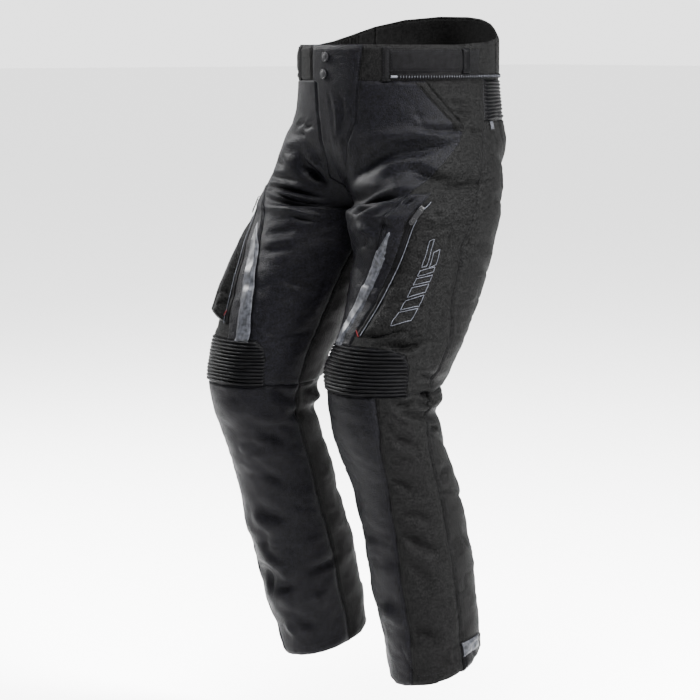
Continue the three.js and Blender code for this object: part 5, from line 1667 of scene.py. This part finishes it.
# Outlines on the cargo pocket: shares across and along the graphic's corners are mixed to u and level
def addGraphic(patch):
    corners = np.array(graphic["corners"])
    near, far = graphic["inset"]
    slant = graphic["slant"]
    shapes = [[(near, a), (far, a + slant), (far, b + slant), (near, b)] for a, b in graphic["bars"]]
    lines = []
    for shape in [*shapes, *graphic["stripes"]]:
        places = np.array([*shape, shape[0]])
        steps = np.arange(4 * graphic["steps"] + 1) / graphic["steps"]
        x = between(places[:, 0], steps)[:, None]
        y = between(places[:, 1], steps)[:, None]
        place = mix(mix(corners[0], corners[1], x), mix(corners[3], corners[2], x), y)
        points, normals = onPatch(patch, place[:, 0], place[:, 1])
        lines.append((points + normals * graphic["lift"], normals))
    addTubes("printed_bars", lines, graphic["line"], "printed ink", sides=6)


addGraphic(cargoPatches[1])

# The small reflective tab under the ribbed seat band
seatTab = {"places": (0.572, 0.592), "levels": (-92.5, -104.5), "count": 9, "lift": 1.6, "thickness": 0.7}
for side in (1, -1):
    share = np.linspace(0, 1, seatTab["count"])
    u, level = mix(*seatTab["places"], share)[None, :], mix(*seatTab["levels"], share)[:, None]
    tab = makePatch(side, u + 0 * level, level + 0 * u)
    tab["points"] = tab["points"] + tab["normals"] * seatTab["lift"]
    addCloth(f"seat_tab_film_{sideNames[side]}", tab, "laminated reflective film", seatTab["thickness"])
print("small trim made")


# The stage: a pale floor well below the hems, white surroundings and soft lights
stageValues = {
    "floor": -1.2, "floorSize": 200.0, "floorColor": "#fafafa", "horizon": 2.6,
    "zenith": 0.6, "backdrop": (-0.75, 0.66, 0.0), "roomShare": 0.3, "sun": 6.0, "sunAngle": 40.0,
    "lights": {
        "key": {"place": (-3.0, -1.1, 1.5), "target": (0, 0, -0.4), "size": 0.8, "power": 600.0},
        "side": {"place": (3.3, 0.7, 1.7), "target": (0, 0, -0.4), "size": 0.9, "power": 1500.0},
        "top": {"place": (0.9, -0.9, 2.6), "target": (0, 0, 0), "size": 1.2, "power": 600.0},
    },
}


# Adds the floor, the world and one square area light for each entry, turned to its target
def addStage(values):
    half = values["floorSize"] / 2
    mesh = bpy.data.meshes.new("floor")
    corners = [(-half, -half, values["floor"]), (half, -half, values["floor"]), (half, half, values["floor"]),
               (-half, half, values["floor"])]
    mesh.from_pydata(corners, [], [(0, 1, 2, 3)])
    material, shader = newMaterial("pale floor", values["floorColor"], 0.9)
    mesh.materials.append(material)
    floor = bpy.data.objects.new("floor", mesh)
    scene.collection.objects.link(floor)
    world = bpy.data.worlds.new("studio")
    world.use_nodes = True
    tree = world.node_tree
    direction = addNode(tree, "ShaderNodeTexCoord").outputs["Generated"]
    height = addNode(tree, "ShaderNodeSeparateXYZ", {0: direction}).outputs[2]
    strength = addNode(tree, "ShaderNodeMapRange", {"Value": height, "From Min": 0.02, "From Max": 0.3,
                                                    "To Min": values["horizon"], "To Max": values["zenith"]})
    towards = addNode(tree, "ShaderNodeVectorMath", {0: direction, 1: values["backdrop"]},
                      operation="DOT_PRODUCT")
    side = addNode(tree, "ShaderNodeMapRange", {"Value": towards.outputs["Value"], "From Min": -0.6,
                                                "From Max": 0.5, "To Min": values["roomShare"],
                                                "To Max": 1.0})
    power = addNode(tree, "ShaderNodeMath", {0: strength.outputs[0], 1: side.outputs[0]},
                    operation="MULTIPLY")
    tree.nodes["Background"].inputs[0].default_value = (1, 1, 1, 1)
    tree.links.new(power.outputs[0], tree.nodes["Background"].inputs[1])
    scene.world = world
    overhead = bpy.data.lights.new("overhead", "SUN")
    overhead.energy = values["sun"]
    overhead.angle = math.radians(values["sunAngle"])
    scene.collection.objects.link(bpy.data.objects.new("overhead", overhead))
    for name, light in values["lights"].items():
        data = bpy.data.lights.new(name, "AREA")
        data.shape = "SQUARE"
        data.size = light["size"]
        data.energy = light["power"]
        placed = bpy.data.objects.new(name, data)
        placed.location = light["place"]
        direction = placed.location - type(placed.location)(light["target"])
        placed.rotation_euler = direction.to_track_quat("Z", "Y").to_euler()
        scene.collection.objects.link(placed)


addCamera(camera)
addStage(stageValues)
